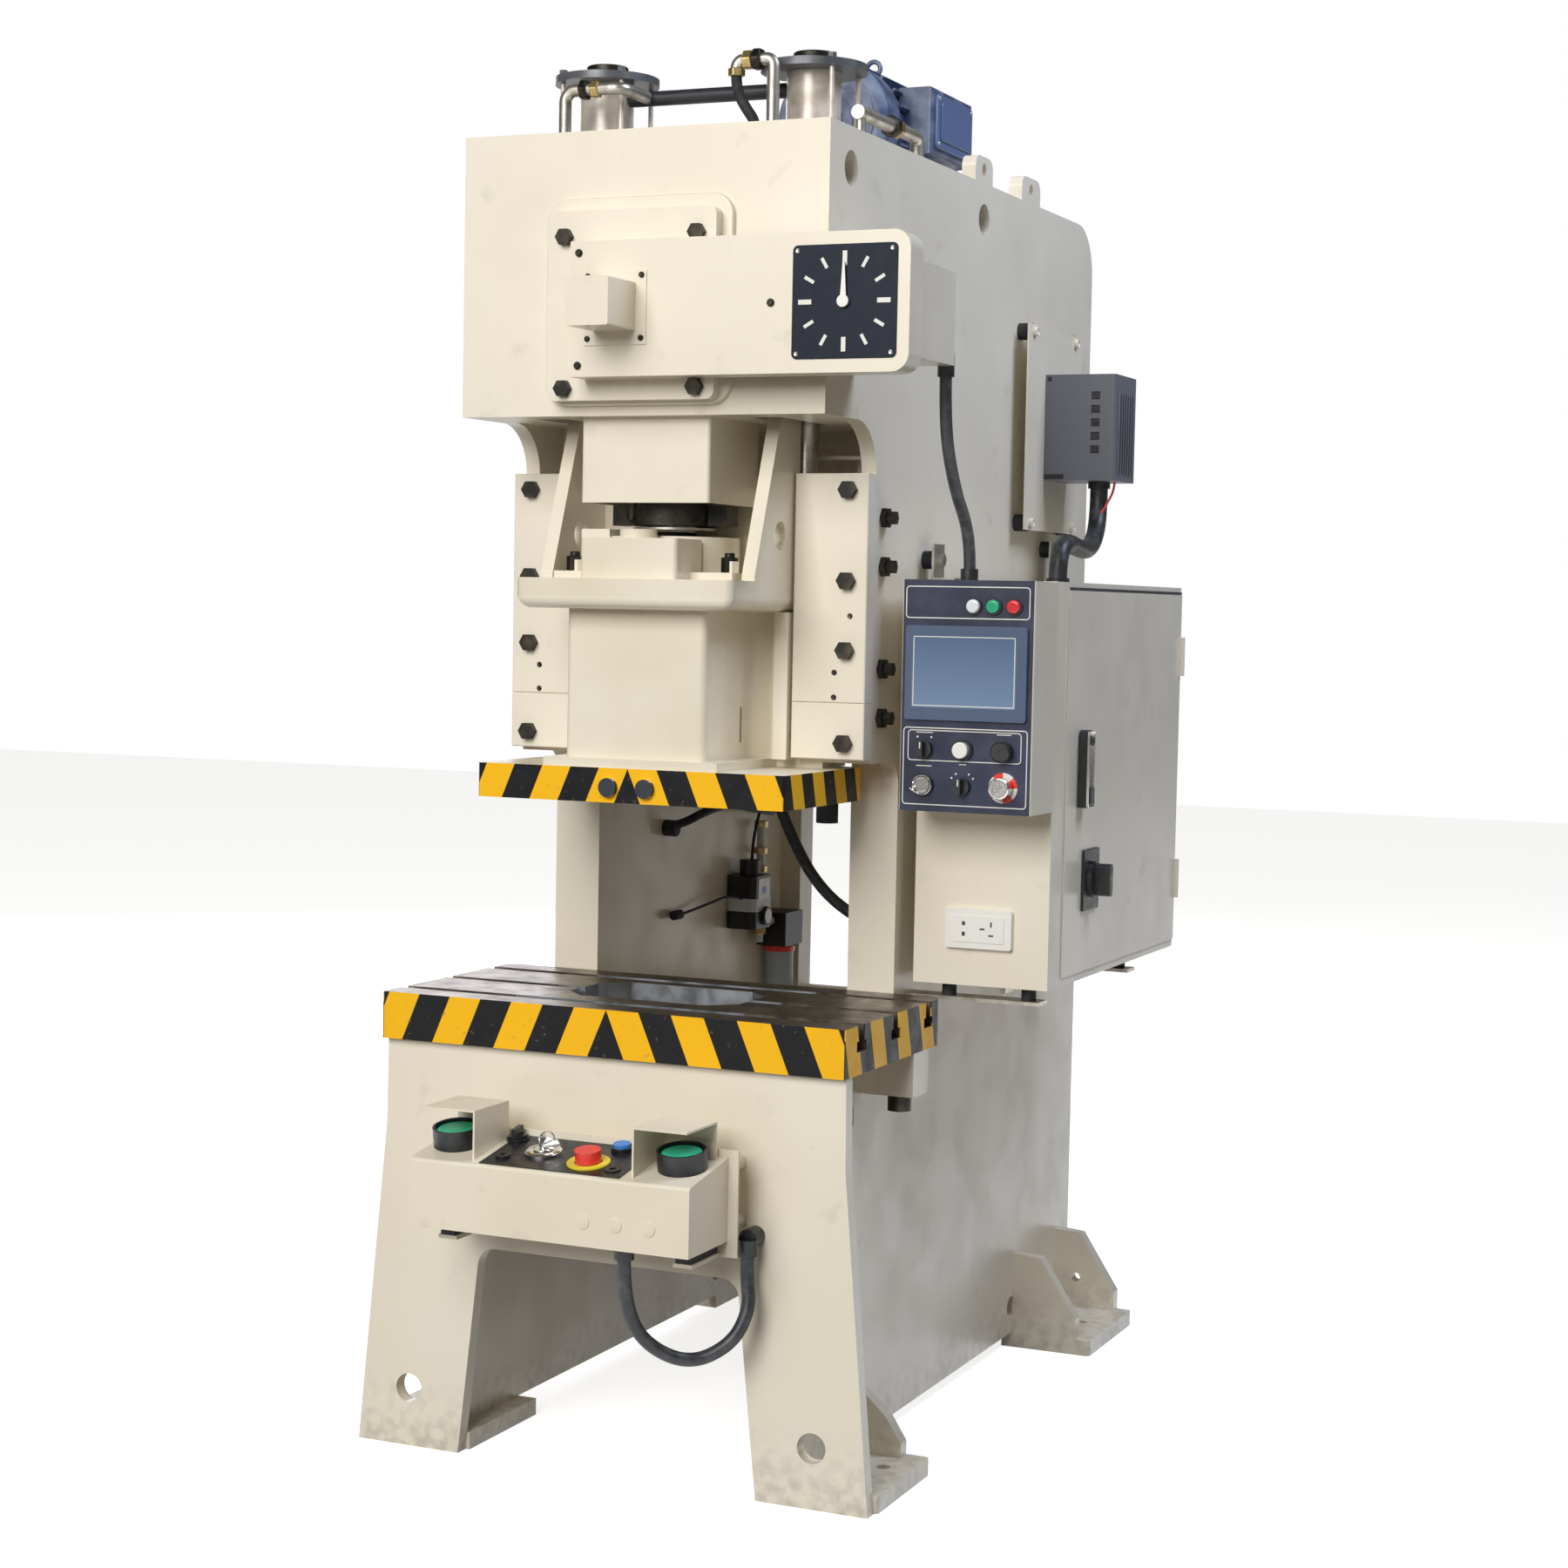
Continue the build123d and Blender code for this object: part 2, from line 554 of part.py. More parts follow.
# Head

def head_box():
    """Front plate, top, bottom and bearing walls, welded into one box."""
    inside = (-SIDE_INSIDE, SIDE_INSIDE)
    wall_z = (HEAD_BOTTOM + PLATE, HEAD_TOP - PLATE)
    ceiling_top = CEILING + PLATE
    front = block((-FRAME_HALF, FRAME_HALF), (0, FRONT_PLATE), (HEAD_BOTTOM, HEAD_TOP))
    boss = bar_y(0, CRANK_Z, (FRONT_PLATE, PIN_FRONT - WEB - ROD_SIDE_GAP), BUSH_OUTSIDE_R + 45)
    top = block(inside, (FRONT_PLATE, FRAME_BACK - BACK_CORNER), (HEAD_TOP - PLATE, HEAD_TOP))
    bottom = block(inside, (FRONT_PLATE, COLUMN_BACK), (HEAD_BOTTOM, HEAD_BOTTOM + PLATE))
    bottom = bottom - block((-ROD_OPENING_HALF, ROD_OPENING_HALF), (FRONT_PLATE + 8, CHEEK_FRONT + 24),
                            (HEAD_BOTTOM, HEAD_BOTTOM + PLATE))
    for opening in both_sides(block(WING_OPENING, (60, BALANCER_Y + 26),
                                    (HEAD_BOTTOM, HEAD_BOTTOM + PLATE))):
        bottom = bottom - opening
    inner = block(inside, (INNER_WALL_FRONT, INNER_WALL_FRONT + INNER_WALL), wall_z)
    drop = block((-COLUMN_INSIDE, COLUMN_INSIDE), (COLUMN_BACK - PLATE, COLUMN_BACK),
                 (CEILING, HEAD_BOTTOM))
    ceiling = block(inside, (COLUMN_BACK, FRAME_BACK - PLATE), (CEILING, ceiling_top))
    drop_back = block(inside, (COLUMN_BACK - PLATE, COLUMN_BACK + PLATE),
                      (HEAD_BOTTOM, HEAD_BOTTOM + PLATE))
    riser = block(inside, (COLUMN_BACK, COLUMN_BACK + PLATE), (ceiling_top, HEAD_BOTTOM))
    rear = block(inside, (REAR_WALL_FRONT, REAR_WALL_FRONT + REAR_WALL),
                 (ceiling_top, HEAD_TOP - PLATE))
    shape = fuse(front, boss, top, bottom, inner, drop, drop_back, riser, ceiling, rear)
    shape = shape - bar_y(0, CRANK_Z, (0, REAR_WALL_FRONT + REAR_WALL), BUSH_OUTSIDE_R)
    slot_y = (FLYWHEEL_FRONT + 15, FLYWHEEL_FRONT + FLYWHEEL_WIDTH - 15)
    shape = shape - block((-BELT_SLOT_HALF, BELT_SLOT_HALF), slot_y, (HEAD_TOP - PLATE, HEAD_TOP))
    swept_y = (FLYWHEEL_FRONT - FLYWHEEL_GAP, FLYWHEEL_FRONT + FLYWHEEL_WIDTH + FLYWHEEL_GAP)
    shape = shape - bar_y(0, CRANK_Z, swept_y, FLYWHEEL_R + FLYWHEEL_GAP)
    for x in (-BALANCER_X, BALANCER_X):
        shape = shape - bar_z(x, BALANCER_Y, (HEAD_TOP - PLATE, HEAD_TOP), BALANCER_R)
    for x in (-COVER_BOLT_X, COVER_BOLT_X):
        for z in (CRANK_Z - COVER_BOLT_Z, CRANK_Z + COVER_BOLT_Z):
            shape = shape - bar_y(x, z, (0, FRONT_PLATE), BOLT_R)
    return shape


def crank_bushes():
    ranges = ((0, PIN_FRONT - WEB - ROD_SIDE_GAP),
              (INNER_WALL_FRONT, INNER_WALL_FRONT + INNER_WALL),
              (REAR_WALL_FRONT, REAR_WALL_FRONT + REAR_WALL))
    return group([bar_y(0, CRANK_Z, y, BUSH_OUTSIDE_R) - bar_y(0, CRANK_Z, y, BUSH_R)
                  for y in ranges])


def rear_cover():
    """Sheet that closes the flywheel space and follows the rounded back corner."""
    thick = 10
    outer_y, outer_z = FRAME_BACK, HEAD_TOP
    inner_r = BACK_CORNER - thick
    solid = outline([(FRAME_BACK - PLATE, CEILING), (outer_y, CEILING), (outer_y, outer_z),
                     (outer_y - BACK_CORNER, outer_z), (outer_y - BACK_CORNER, outer_z - thick),
                     (outer_y - thick, outer_z - thick), (outer_y - thick, CEILING + PLATE),
                     (FRAME_BACK - PLATE, CEILING + PLATE)], {2: BACK_CORNER, 5: inner_r})
    return plate_x(solid, (-SIDE_INSIDE, SIDE_INSIDE))


def gib_plate():
    """Front guide plate with its lower keeper, drilled for four bolts."""
    x = (GIB_INSIDE, GIB_OUTSIDE)
    y = (GIB_FRONT, CHEEK_FRONT)
    upper = chamfer(block(x, y, (GIB_SPLIT + 0.5, GIB_TOP)).edges().group_by(Axis.Y)[0], 1.5)
    keeper = chamfer(block(x, y, (GIB_BOTTOM, GIB_SPLIT)).edges().group_by(Axis.Y)[0], 1.5)
    for z in GIB_BOLT_Z:
        hole = bar_y(GIB_BOLT_X, z, y, BOLT_R)
        upper = upper - hole
        keeper = keeper - hole
    return group([upper, keeper])


def frame_bolts():
    """Gib bolts, side adjusters with lock nuts, crank cover bolts and table jacks."""
    bolts = []
    for z in GIB_BOLT_Z:
        shank = bar_y(GIB_BOLT_X, z, (GIB_FRONT, CHEEK_FRONT + 25), BOLT_R)
        bolts += both_sides(shank + hex_y(GIB_BOLT_X, z, (GIB_FRONT - 12, GIB_FRONT), 26))
    for z in ADJUSTER_Z:
        shank = bar_x(ADJUSTER_Y, z, (COLUMN_INSIDE + 0.5, FRAME_HALF), BOLT_R)
        nut = hex_x(ADJUSTER_Y, z, (FRAME_HALF, FRAME_HALF + 9), 30)
        head = hex_x(ADJUSTER_Y, z, (FRAME_HALF + 9, FRAME_HALF + 22), 20)
        bolts += both_sides(fuse(shank, nut, head))
    for x in (-COVER_BOLT_X, COVER_BOLT_X):
        for z in (CRANK_Z - COVER_BOLT_Z, CRANK_Z + COVER_BOLT_Z):
            shank = bar_y(x, z, (COVER_FRONT, FRONT_PLATE), BOLT_R)
            bolts.append(shank + hex_y(x, z, (COVER_FRONT - 12, COVER_FRONT), 24))
    bolts += both_sides(bar_z(365, 237, (BED_TOP - 97, BED_TOP - 70), 19))
    return group(bolts)


# Crank cover, dial arm and end cap

def crank_cover():
    """Raised pad and bolted flange round the crank's front end."""
    pad = plate_y(Pos(0, CRANK_Z + 19) * RectangleRounded(COVER_PAD_SIZE, COVER_PAD_SIZE, 35),
                  (-COVER_PAD, 0))
    flange = plate_y(Pos(0, CRANK_Z + 11) * RectangleRounded(COVER_WIDTH, COVER_HEIGHT, 14),
                     (COVER_FRONT, -COVER_PAD))
    shape = fillet(pad.faces().sort_by(Axis.Y)[0].edges(), 4) + flange
    shape = shape - bar_y(0, CRANK_Z, (COVER_FRONT, 0), JOURNAL_R + 3)
    for x in (-COVER_BOLT_X, COVER_BOLT_X):
        for z in (CRANK_Z - COVER_BOLT_Z, CRANK_Z + COVER_BOLT_Z):
            shape = shape - bar_y(x, z, (COVER_FRONT, 0), BOLT_R)
    return shape


def dial_arm():
    """Long flat housing from the crank to the dial, with rounded right corners."""
    corners = [(DIAL_ARM_LEFT, DIAL_ARM_BOTTOM), (DIAL_ARM_RIGHT, DIAL_ARM_BOTTOM),
               (DIAL_ARM_RIGHT, DIAL_ARM_TOP), (DIAL_ARM_LEFT, DIAL_ARM_TOP)]
    outer = outline(corners, {1: DIAL_ARM_CORNER, 2: DIAL_ARM_CORNER})
    outer = plate_y(outer, (DIAL_ARM_FRONT, COVER_FRONT))
    wall = DIAL_ARM_WALL
    inner_corner = DIAL_ARM_CORNER - wall
    inner_corners = [(DIAL_ARM_LEFT + wall, DIAL_ARM_BOTTOM + wall),
                     (DIAL_ARM_RIGHT - wall, DIAL_ARM_BOTTOM + wall),
                     (DIAL_ARM_RIGHT - wall, DIAL_ARM_TOP - wall),
                     (DIAL_ARM_LEFT + wall, DIAL_ARM_TOP - wall)]
    inner = outline(inner_corners, {1: inner_corner, 2: inner_corner})
    inner = plate_y(inner, (DIAL_ARM_FRONT + wall, COVER_FRONT))
    shape = outer - inner
    shape = shape - bar_y(0, CRANK_Z, (DIAL_ARM_FRONT, DIAL_ARM_FRONT + wall), CRANK_STUB_R + 4)
    shape = shape - bar_y(DIAL_X, CRANK_Z, (DIAL_ARM_FRONT, DIAL_ARM_FRONT + wall), POINTER_R + STEM_GAP)
    for x, z in DIAL_ARM_SCREWS:
        shape = shape + bar_y(x, z, (DIAL_ARM_FRONT + wall, COVER_FRONT), 7)
    return shape


def cam_box():
    """Box behind the dial arm that holds the cam switches, open towards the arm."""
    x = (FRAME_HALF, DIAL_ARM_RIGHT - 4)
    z = (DIAL_ARM_BOTTOM + 25, DIAL_ARM_TOP - 40)
    wall = DIAL_ARM_WALL
    shape = block(x, (COVER_FRONT, CAM_BOX_BACK), z)
    shape = shape - block((x[0] + wall, x[1] - wall), (COVER_FRONT, CAM_BOX_BACK - wall),
                          (z[0] + wall, z[1] - wall))
    return shape


def dial_pointer():
    """Pointer with its shaft and chain wheel."""
    needle = outline([(DIAL_X - 5, CRANK_Z), (DIAL_X + 5, CRANK_Z), (DIAL_X + 1.5, CRANK_Z + POINTER_LENGTH),
                      (DIAL_X - 1.5, CRANK_Z + POINTER_LENGTH)])
    shape = plate_y(needle, (DIAL_ARM_FRONT - 7, DIAL_ARM_FRONT - 5))
    shape = shape + bar_y(DIAL_X, CRANK_Z, (DIAL_ARM_FRONT - 9, DIAL_ARM_FRONT - 4), 9)
    shape = shape + bar_y(DIAL_X, CRANK_Z, (DIAL_ARM_FRONT - 4, COVER_FRONT + 60), POINTER_R)
    return shape + bar_y(DIAL_X, CRANK_Z, (-66, -58), 32)


def crank_end_cap():
    """Square cover over the crank's front end, with a thin base plate."""
    wall = 3
    base_front = DIAL_ARM_FRONT - 2
    x = (-36, 36)
    z = (CRANK_Z - 35, CRANK_Z + 38)
    base = block((x[0] - 15, x[1] + 18), (base_front, DIAL_ARM_FRONT), (z[0] - 21, z[1] + 17))
    cap = block(x, (CAP_FRONT, base_front), z)
    cap = fillet(cap.edges().filter_by(Axis.Y), 3)
    inner = block((x[0] + wall, x[1] - wall), (CAP_FRONT + wall, DIAL_ARM_FRONT),
                  (z[0] + wall, z[1] - wall))
    return base + cap - inner


def rod_guard():
    """Folded sheet round the connecting rod, open at the back, top and bottom."""
    outer = block((-GUARD_HALF, GUARD_HALF), (GUARD_FRONT, GUARD_BACK), (GUARD_BOTTOM, GUARD_TOP))
    outer = fillet(outer.edges().filter_by(Axis.Z).group_by(Axis.Y)[0], 6)
    inner = block((-GUARD_HALF + SHEET, GUARD_HALF - SHEET), (GUARD_FRONT + SHEET, GUARD_BACK),
                  (GUARD_BOTTOM, GUARD_TOP))
    inner = fillet(inner.edges().filter_by(Axis.Z).group_by(Axis.Y)[0], 3)
    return outer - inner


# Crankshaft, connecting rod and screw


def crankshaft():
    """Crank with its eccentric pin between two webs, the chain wheel and the long rear shaft."""
    stub = bar_y(0, CRANK_Z, (CAP_FRONT + 22, -30), CRANK_STUB_R)
    wheel = bar_y(0, CRANK_Z, (-66, -58), 32)
    front = bar_y(0, CRANK_Z, (-30, PIN_FRONT - WEB), JOURNAL_R)
    pin = bar_y(0, PIN_TOP_Z, (PIN_FRONT, PIN_BACK), PIN_R)
    web_face = make_hull([*(Pos(0, CRANK_Z) * Circle(WEB_JOURNAL_R)).edges(),
                          *(Pos(0, PIN_TOP_Z) * Circle(WEB_R)).edges()])
    front_web = plate_y(web_face, (PIN_FRONT - WEB, PIN_FRONT))
    rear_web = plate_y(web_face, (PIN_BACK, PIN_BACK + WEB))
    rear = bar_y(0, CRANK_Z, (PIN_BACK + WEB, REAR_WALL_FRONT + REAR_WALL + 10), JOURNAL_R)
    seat = bar_y(0, CRANK_Z, (REAR_WALL_FRONT + REAR_WALL + 10, FLYWHEEL_FRONT + FLYWHEEL_WIDTH + 15),
                 FLYWHEEL_SEAT_R)
    return fuse(stub, wheel, front, front_web, pin, rear_web, rear, seat)


def pin_path():
    """Centres of the pin as the rod sees it, from the top of the stroke to the bottom."""
    steps = 12
    places = []
    for step in range(steps + 1):
        angle = math.pi * step / steps
        places.append((THROW * math.sin(angle),
                       PIN_TOP_Z + THROW * (math.cos(angle) - 1) + STROKE * angle / math.pi))
    return places


def connecting_rod():
    """Rod with its big end round the pin and a threaded sleeve below."""
    hole_r = PIN_R + OPEN_PIVOT_GAP
    hole_edges = []
    eye_edges = []
    for x, z in pin_path():
        hole_edges += (Pos(x, z) * Circle(hole_r)).edges()
        eye_edges += (Pos(x, z) * Circle(hole_r + ROD_WALL)).edges()
    y = (PIN_FRONT + ROD_SIDE_GAP, PIN_BACK - ROD_SIDE_GAP)
    sleeve_top = CRANK_Z - WEB_JOURNAL_R - 6
    eye = plate_y(make_hull(eye_edges), y)
    neck = plate_y(outline([(-SLEEVE_R + 8, sleeve_top - 20), (SLEEVE_R - 8, sleeve_top - 20),
                            (THROW + 40, PIN_TOP_Z - 20), (-THROW - 30, PIN_TOP_Z - 20)]), y)
    sleeve = bar_z(0, WORK_Y, (GUARD_BOTTOM, sleeve_top), SLEEVE_R)
    shape = fuse(eye, neck, sleeve) - plate_y(make_hull(hole_edges), y)
    return shape - bar_z(0, WORK_Y, (GUARD_BOTTOM, SCREW_TOP + 10), SCREW_R + GUIDE_GAP)


def ring_nut():
    """Lock nut under the rod, with two lugs and a pin to turn it."""
    z = (GUARD_BOTTOM - 1 - RING_NUT, GUARD_BOTTOM - 1)
    shape = bar_z(0, WORK_Y, z, RING_NUT_R)
    lug = block((-RING_NUT_LUG, RING_NUT_LUG), (WORK_Y - 22, WORK_Y + 22), z)
    shape = shape + lug
    pin = bar_z(-50, WORK_Y - 52, (z[0] + 8, z[1] + 18), 9)
    shape = shape + pin
    return shape - bar_z(0, WORK_Y, z, SCREW_R + GUIDE_GAP)


def adjusting_screw():
    """Screw with the ball at its foot."""
    shaft = bar_z(0, WORK_Y, (BALL_Z, SCREW_TOP), SCREW_R)
    return shaft + Pos(0, WORK_Y, BALL_Z) * Sphere(BALL_R)


def ball_seat():
    """Flanged seat that holds the screw's ball, with the lock block in front."""
    back = RAM_FLANGE_FRONT - 2
    flange = block((-155, 155), (20, back), (LEDGE_TOP, LEDGE_TOP + 12))
    housing = bar_z(0, WORK_Y, (LEDGE_TOP + 12, LEDGE_TOP + 68), 104)
    housing = housing - block((-110, 110), (back, 300), (LEDGE_TOP, LEDGE_TOP + 72))
    lock_top = LEDGE_TOP + 63
    lock = block((-83, 83), (-30, 60), (LEDGE_TOP, lock_top))
    lock = fillet(lock.edges().filter_by(Axis.Z).group_by(Axis.Y)[0], 8)
    cap = bar_z(0, 8, (lock_top, lock_top + 14), 29)
    tab = block((-128, -78), (60, 110), (LEDGE_TOP + 12, LEDGE_TOP + 79))
    shape = fuse(flange, housing, lock, cap, tab)
    shape = shape - Pos(0, WORK_Y, BALL_Z) * Sphere(BALL_R + RUNNING_GAP)
    shape = shape - bar_z(0, WORK_Y, (BALL_Z, LEDGE_TOP + 82), SCREW_R + 3)
    nuts = [plate_z(Pos(x, 60) * RegularPolygon(11, 6, major_radius=False), (LEDGE_TOP + 12, LEDGE_TOP + 30))
            for x in (-135, 135)]
    return group([shape, *nuts])


# Ram and slide plate

def ram_body():
    """Body of the ram below its ledge, with the hollows beside it and the ribs."""
    hollow_back = CHEEK_FRONT - 11
    rib_front = CHEEK_FRONT - 46
    half = [(RAM_BODY_HALF, 0), (RAM_BODY_HALF, CHEEK_FRONT - 51), (RAM_BODY_HALF + 29, hollow_back),
            (LEDGE_HALF - 24, hollow_back), (LEDGE_HALF - 24, rib_front), (LEDGE_HALF, rib_front),
            (LEDGE_HALF, RAM_FLANGE_FRONT + 5)]
    other = [(-x, y) for x, y in reversed(half)]
    face = outline(half + other, {0: 12, 1: 30, 2: 18, 11: 18, 12: 30, 13: 12})
    return plate_z(face, (RAM_BOTTOM + RAM_FOOT, LEDGE_BOTTOM))


def ram():
    """Ram casting: guide flange, body, foot, ledge and two wings."""
    flange = block((-RAM_FLANGE_HALF, RAM_FLANGE_HALF), (RAM_FLANGE_FRONT, RAM_FLANGE_BACK),
                   (RAM_BOTTOM, RAM_FLANGE_TOP))
    foot = block((-RAM_FOOT_HALF, RAM_FOOT_HALF), (-RAM_FOOT, RAM_FLANGE_FRONT),
                 (RAM_BOTTOM, RAM_BOTTOM + RAM_FOOT))
    ledge = block((-LEDGE_HALF, LEDGE_HALF), (LEDGE_FRONT, RAM_FLANGE_FRONT), (LEDGE_BOTTOM, LEDGE_TOP))
    ledge = fillet(ledge.edges().filter_by(Axis.Z).group_by(Axis.Y)[0], 15)
    low_front = ledge.faces().sort_by(Axis.Z)[0].edges().group_by(Axis.Y)[0]
    ledge = fillet(low_front, 20)
    wing_back = CHEEK_FRONT - 11
    wing_face = outline([(34, LEDGE_TOP), (34, LEDGE_TOP + 9), (123, WING_TOP - 48), (141, WING_TOP),
                         (wing_back, WING_TOP), (wing_back, LEDGE_TOP)])
    wing_face = wing_face - Pos(128, LEDGE_TOP + 72) * Circle(22.5)
    wing = plate_x(wing_face, (LEDGE_HALF - WING, LEDGE_HALF))
    strip = block((LEDGE_HALF - WING, LEDGE_HALF), (wing_back, RAM_FLANGE_FRONT),
                  (LEDGE_TOP, RAM_FLANGE_TOP))
    shape = fuse(flange, ram_body(), foot, ledge, *both_sides(wing), *both_sides(strip))
    return shape - bar_z(0, WORK_Y, (RAM_BOTTOM, SLIDE_BOTTOM + SHANK_DEPTH), SHANK_HOLE / 2)


def slide_plate():
    """Plate under the ram with the shank hole, its clamp bolts and the stop at its rear edge."""
    plate = block((-SLIDE_PLATE_HALF, SLIDE_PLATE_HALF),
                  (WORK_Y - SLIDE_PLATE_REACH, WORK_Y + SLIDE_PLATE_REACH), (SLIDE_BOTTOM, RAM_BOTTOM))
    plate = chamfer(plate.edges().filter_by(Axis.Z), 3)
    plate = plate - bar_z(0, WORK_Y, (SLIDE_BOTTOM, RAM_BOTTOM), SHANK_HOLE / 2)
    front = WORK_Y - SLIDE_PLATE_REACH
    for x in (-32, 32):
        plate = plate + bar_y(x, SLIDE_BOTTOM + 24, (front - 8, front), 15)
    stop_y = WORK_Y + SLIDE_PLATE_REACH + STOP_R - 3
    return plate + bar_z(STOP_X, stop_y, (SLIDE_BOTTOM - 40, RAM_BOTTOM - 6), STOP_R)


# Balancers and air pipes


def balance_cylinders():
    """Two air cylinders on the head, each with a base ring, a top flange and four tie rods."""
    result = []
    for x in (-BALANCER_X, BALANCER_X):
        inner_r = BALANCER_R - BALANCER_WALL
        tube = bar_z(x, BALANCER_Y, (BALANCER_FOOT, BALANCER_TOP), BALANCER_R)
        base = bar_z(x, BALANCER_Y, (HEAD_TOP, HEAD_TOP + 8), BALANCER_FLANGE_R)
        top = bar_z(x, BALANCER_Y, (BALANCER_TOP, BALANCER_TOP + 12), BALANCER_FLANGE_R)
        hub = bar_z(x, BALANCER_Y, (BALANCER_TOP + 12, BALANCER_TOP + 31), 22.5)
        shape = fuse(tube, base, top, hub)
        for turn in range(4):
            angle = math.radians(45 + 90 * turn)
            rod_x = x + 75 * math.cos(angle)
            rod_y = BALANCER_Y + 75 * math.sin(angle)
            shape = shape + bar_z(rod_x, rod_y, (HEAD_TOP + 8, BALANCER_TOP), 4)
            nut = Pos(rod_x, rod_y) * RegularPolygon(6.5, 6, major_radius=False)
            shape = shape + plate_z(nut, (BALANCER_TOP + 12, BALANCER_TOP + 20))
        shape = shape - bar_z(x, BALANCER_Y, (BALANCER_FOOT + 10, BALANCER_TOP), inner_r)
        shape = shape - bar_z(x, BALANCER_Y, (BALANCER_FOOT, BALANCER_FOOT + 10),
                              PISTON_ROD_R + GUIDE_GAP)
        result.append(shape)
    return group(result)


def balance_rods():
    """Two piston rods from the ram up into the cylinders."""
    top = BALANCER_TOP - 6
    piston_r = BALANCER_R - BALANCER_WALL - GUIDE_GAP
    rods = []
    for x in (-BALANCER_X, BALANCER_X):
        rod = bar_z(x, BALANCER_Y, (RAM_FLANGE_TOP, top), PISTON_ROD_R)
        rods.append(rod + bar_z(x, BALANCER_Y, (top - PISTON, top), piston_r))
    return group(rods)


def pipe(points, bend, radius):
    """A bent pipe of one radius at all its corners."""
    path = FilletPolyline(*points, radius=bend)
    return sweep(Plane(origin=path @ 0, z_dir=path % 0) * Circle(radius), path=path)


def air_pipes():
    """Cross pipe between the balancers and the pipes that feed it."""
    cross = bar_x(BALANCER_Y, CROSS_PIPE_Z, (-BALANCER_X + BALANCER_R, BALANCER_X - BALANCER_R), 12)
    left = pipe([(LEFT_PIPE_X, PIPE_Y, HEAD_TOP), (LEFT_PIPE_X, PIPE_Y, CROSS_PIPE_Z),
                 (-105, PIPE_Y, CROSS_PIPE_Z), (-105, BALANCER_Y, CROSS_PIPE_Z)],
                PIPE_BEND, PIPE_R)
    right = pipe([(RIGHT_PIPE_X, PIPE_Y, HEAD_TOP), (RIGHT_PIPE_X, PIPE_Y, HIGH_PIPE_Z),
                  (HOSE_X, PIPE_Y, HIGH_PIPE_Z), (HOSE_X, PIPE_Y, HOSE_TOP)], 12, PIPE_R)
    conduit = pipe([(CONDUIT_PIPE_X, 160, CONDUIT_PIPE_Z), (CONDUIT_PIPE_X, 415, CONDUIT_PIPE_Z),
                    (CONDUIT_PIPE_X, 415, HEAD_TOP)], 14, 11)
    post = bar_z(CONDUIT_PIPE_X, 172, (HEAD_TOP, CONDUIT_PIPE_Z), 8)
    return group([cross + left, right, conduit + post])


# Motor, pulley, belts and flywheel


def motor():
    """Ribbed motor on its foot, with fan cowl, terminal box and lifting eye."""
    body = bar_y(0, MOTOR_Z, (MOTOR_FRONT + 70, MOTOR_BACK - 30), MOTOR_R - 14)
    ribs = []
    for index in range(20):
        rib = Pos(0, MOTOR_Z) * Rot(0, 0, 18 * index) * Pos(MOTOR_R - 12, 0) * Rectangle(24, 5)
        ribs.append(plate_y(rib, (MOTOR_FRONT + 82, MOTOR_BACK - 42)))
    cowl = bar_y(0, MOTOR_Z, (MOTOR_FRONT, MOTOR_FRONT + 70), MOTOR_R - 4)
    cowl = chamfer(cowl.edges().group_by(Axis.Y)[0], 12)
    shield = bar_y(0, MOTOR_Z, (MOTOR_BACK - 42, MOTOR_BACK), MOTOR_R)
    shield = chamfer(shield.edges().group_by(Axis.Y)[-1], 14)
    foot = block((-95, 95), (MOTOR_FRONT + 120, MOTOR_BACK - 60), (HEAD_TOP, HEAD_TOP + 18))
    legs = block((-62, 62), (MOTOR_FRONT + 130, MOTOR_BACK - 70), (HEAD_TOP, MOTOR_Z - MOTOR_R + 30))
    box = block((MOTOR_R - 26, MOTOR_R + 40), (MOTOR_FRONT + 116, MOTOR_BACK - 36),
                (MOTOR_Z - 46, MOTOR_Z + 72))
    box = fillet(box.faces().sort_by(Axis.X)[-1].edges(), 8)
    eye_base = bar_z(0, MOTOR_EYE_Y, (MOTOR_Z + MOTOR_R - 16, MOTOR_Z + MOTOR_R + 10), 10)
    eye = Pos(0, MOTOR_EYE_Y, MOTOR_Z + MOTOR_R + 15) * Rot(90, 0, 0) * Torus(13, 4.5)
    shape = fuse(body, *ribs, cowl, shield, foot, legs, box, eye_base, eye)
    return shape - bar_y(0, MOTOR_Z, (MOTOR_BACK - 25, MOTOR_BACK), MOTOR_SHAFT_R + GUIDE_GAP)


def grooved(radius, y, offsets, centre_z):
    """A belt wheel's rim with one groove for each belt."""
    rim = bar_y(0, centre_z, y, radius)
    for offset in offsets:
        groove = (y[0] + offset - BELT_GAP, y[0] + offset + BELT_WIDTH + BELT_GAP)
        ring = bar_y(0, centre_z, groove, radius + 1)
        rim = rim - (ring - bar_y(0, centre_z, groove, radius - BELT_THICK - 2))
    return rim


def motor_pulley():
    rim = grooved(PULLEY_R, (PULLEY_FRONT, PULLEY_FRONT + PULLEY_WIDTH), BELT_OFFSETS, MOTOR_Z)
    return rim + bar_y(0, MOTOR_Z, (MOTOR_BACK - 22, PULLEY_FRONT + PULLEY_WIDTH + 8), MOTOR_SHAFT_R)


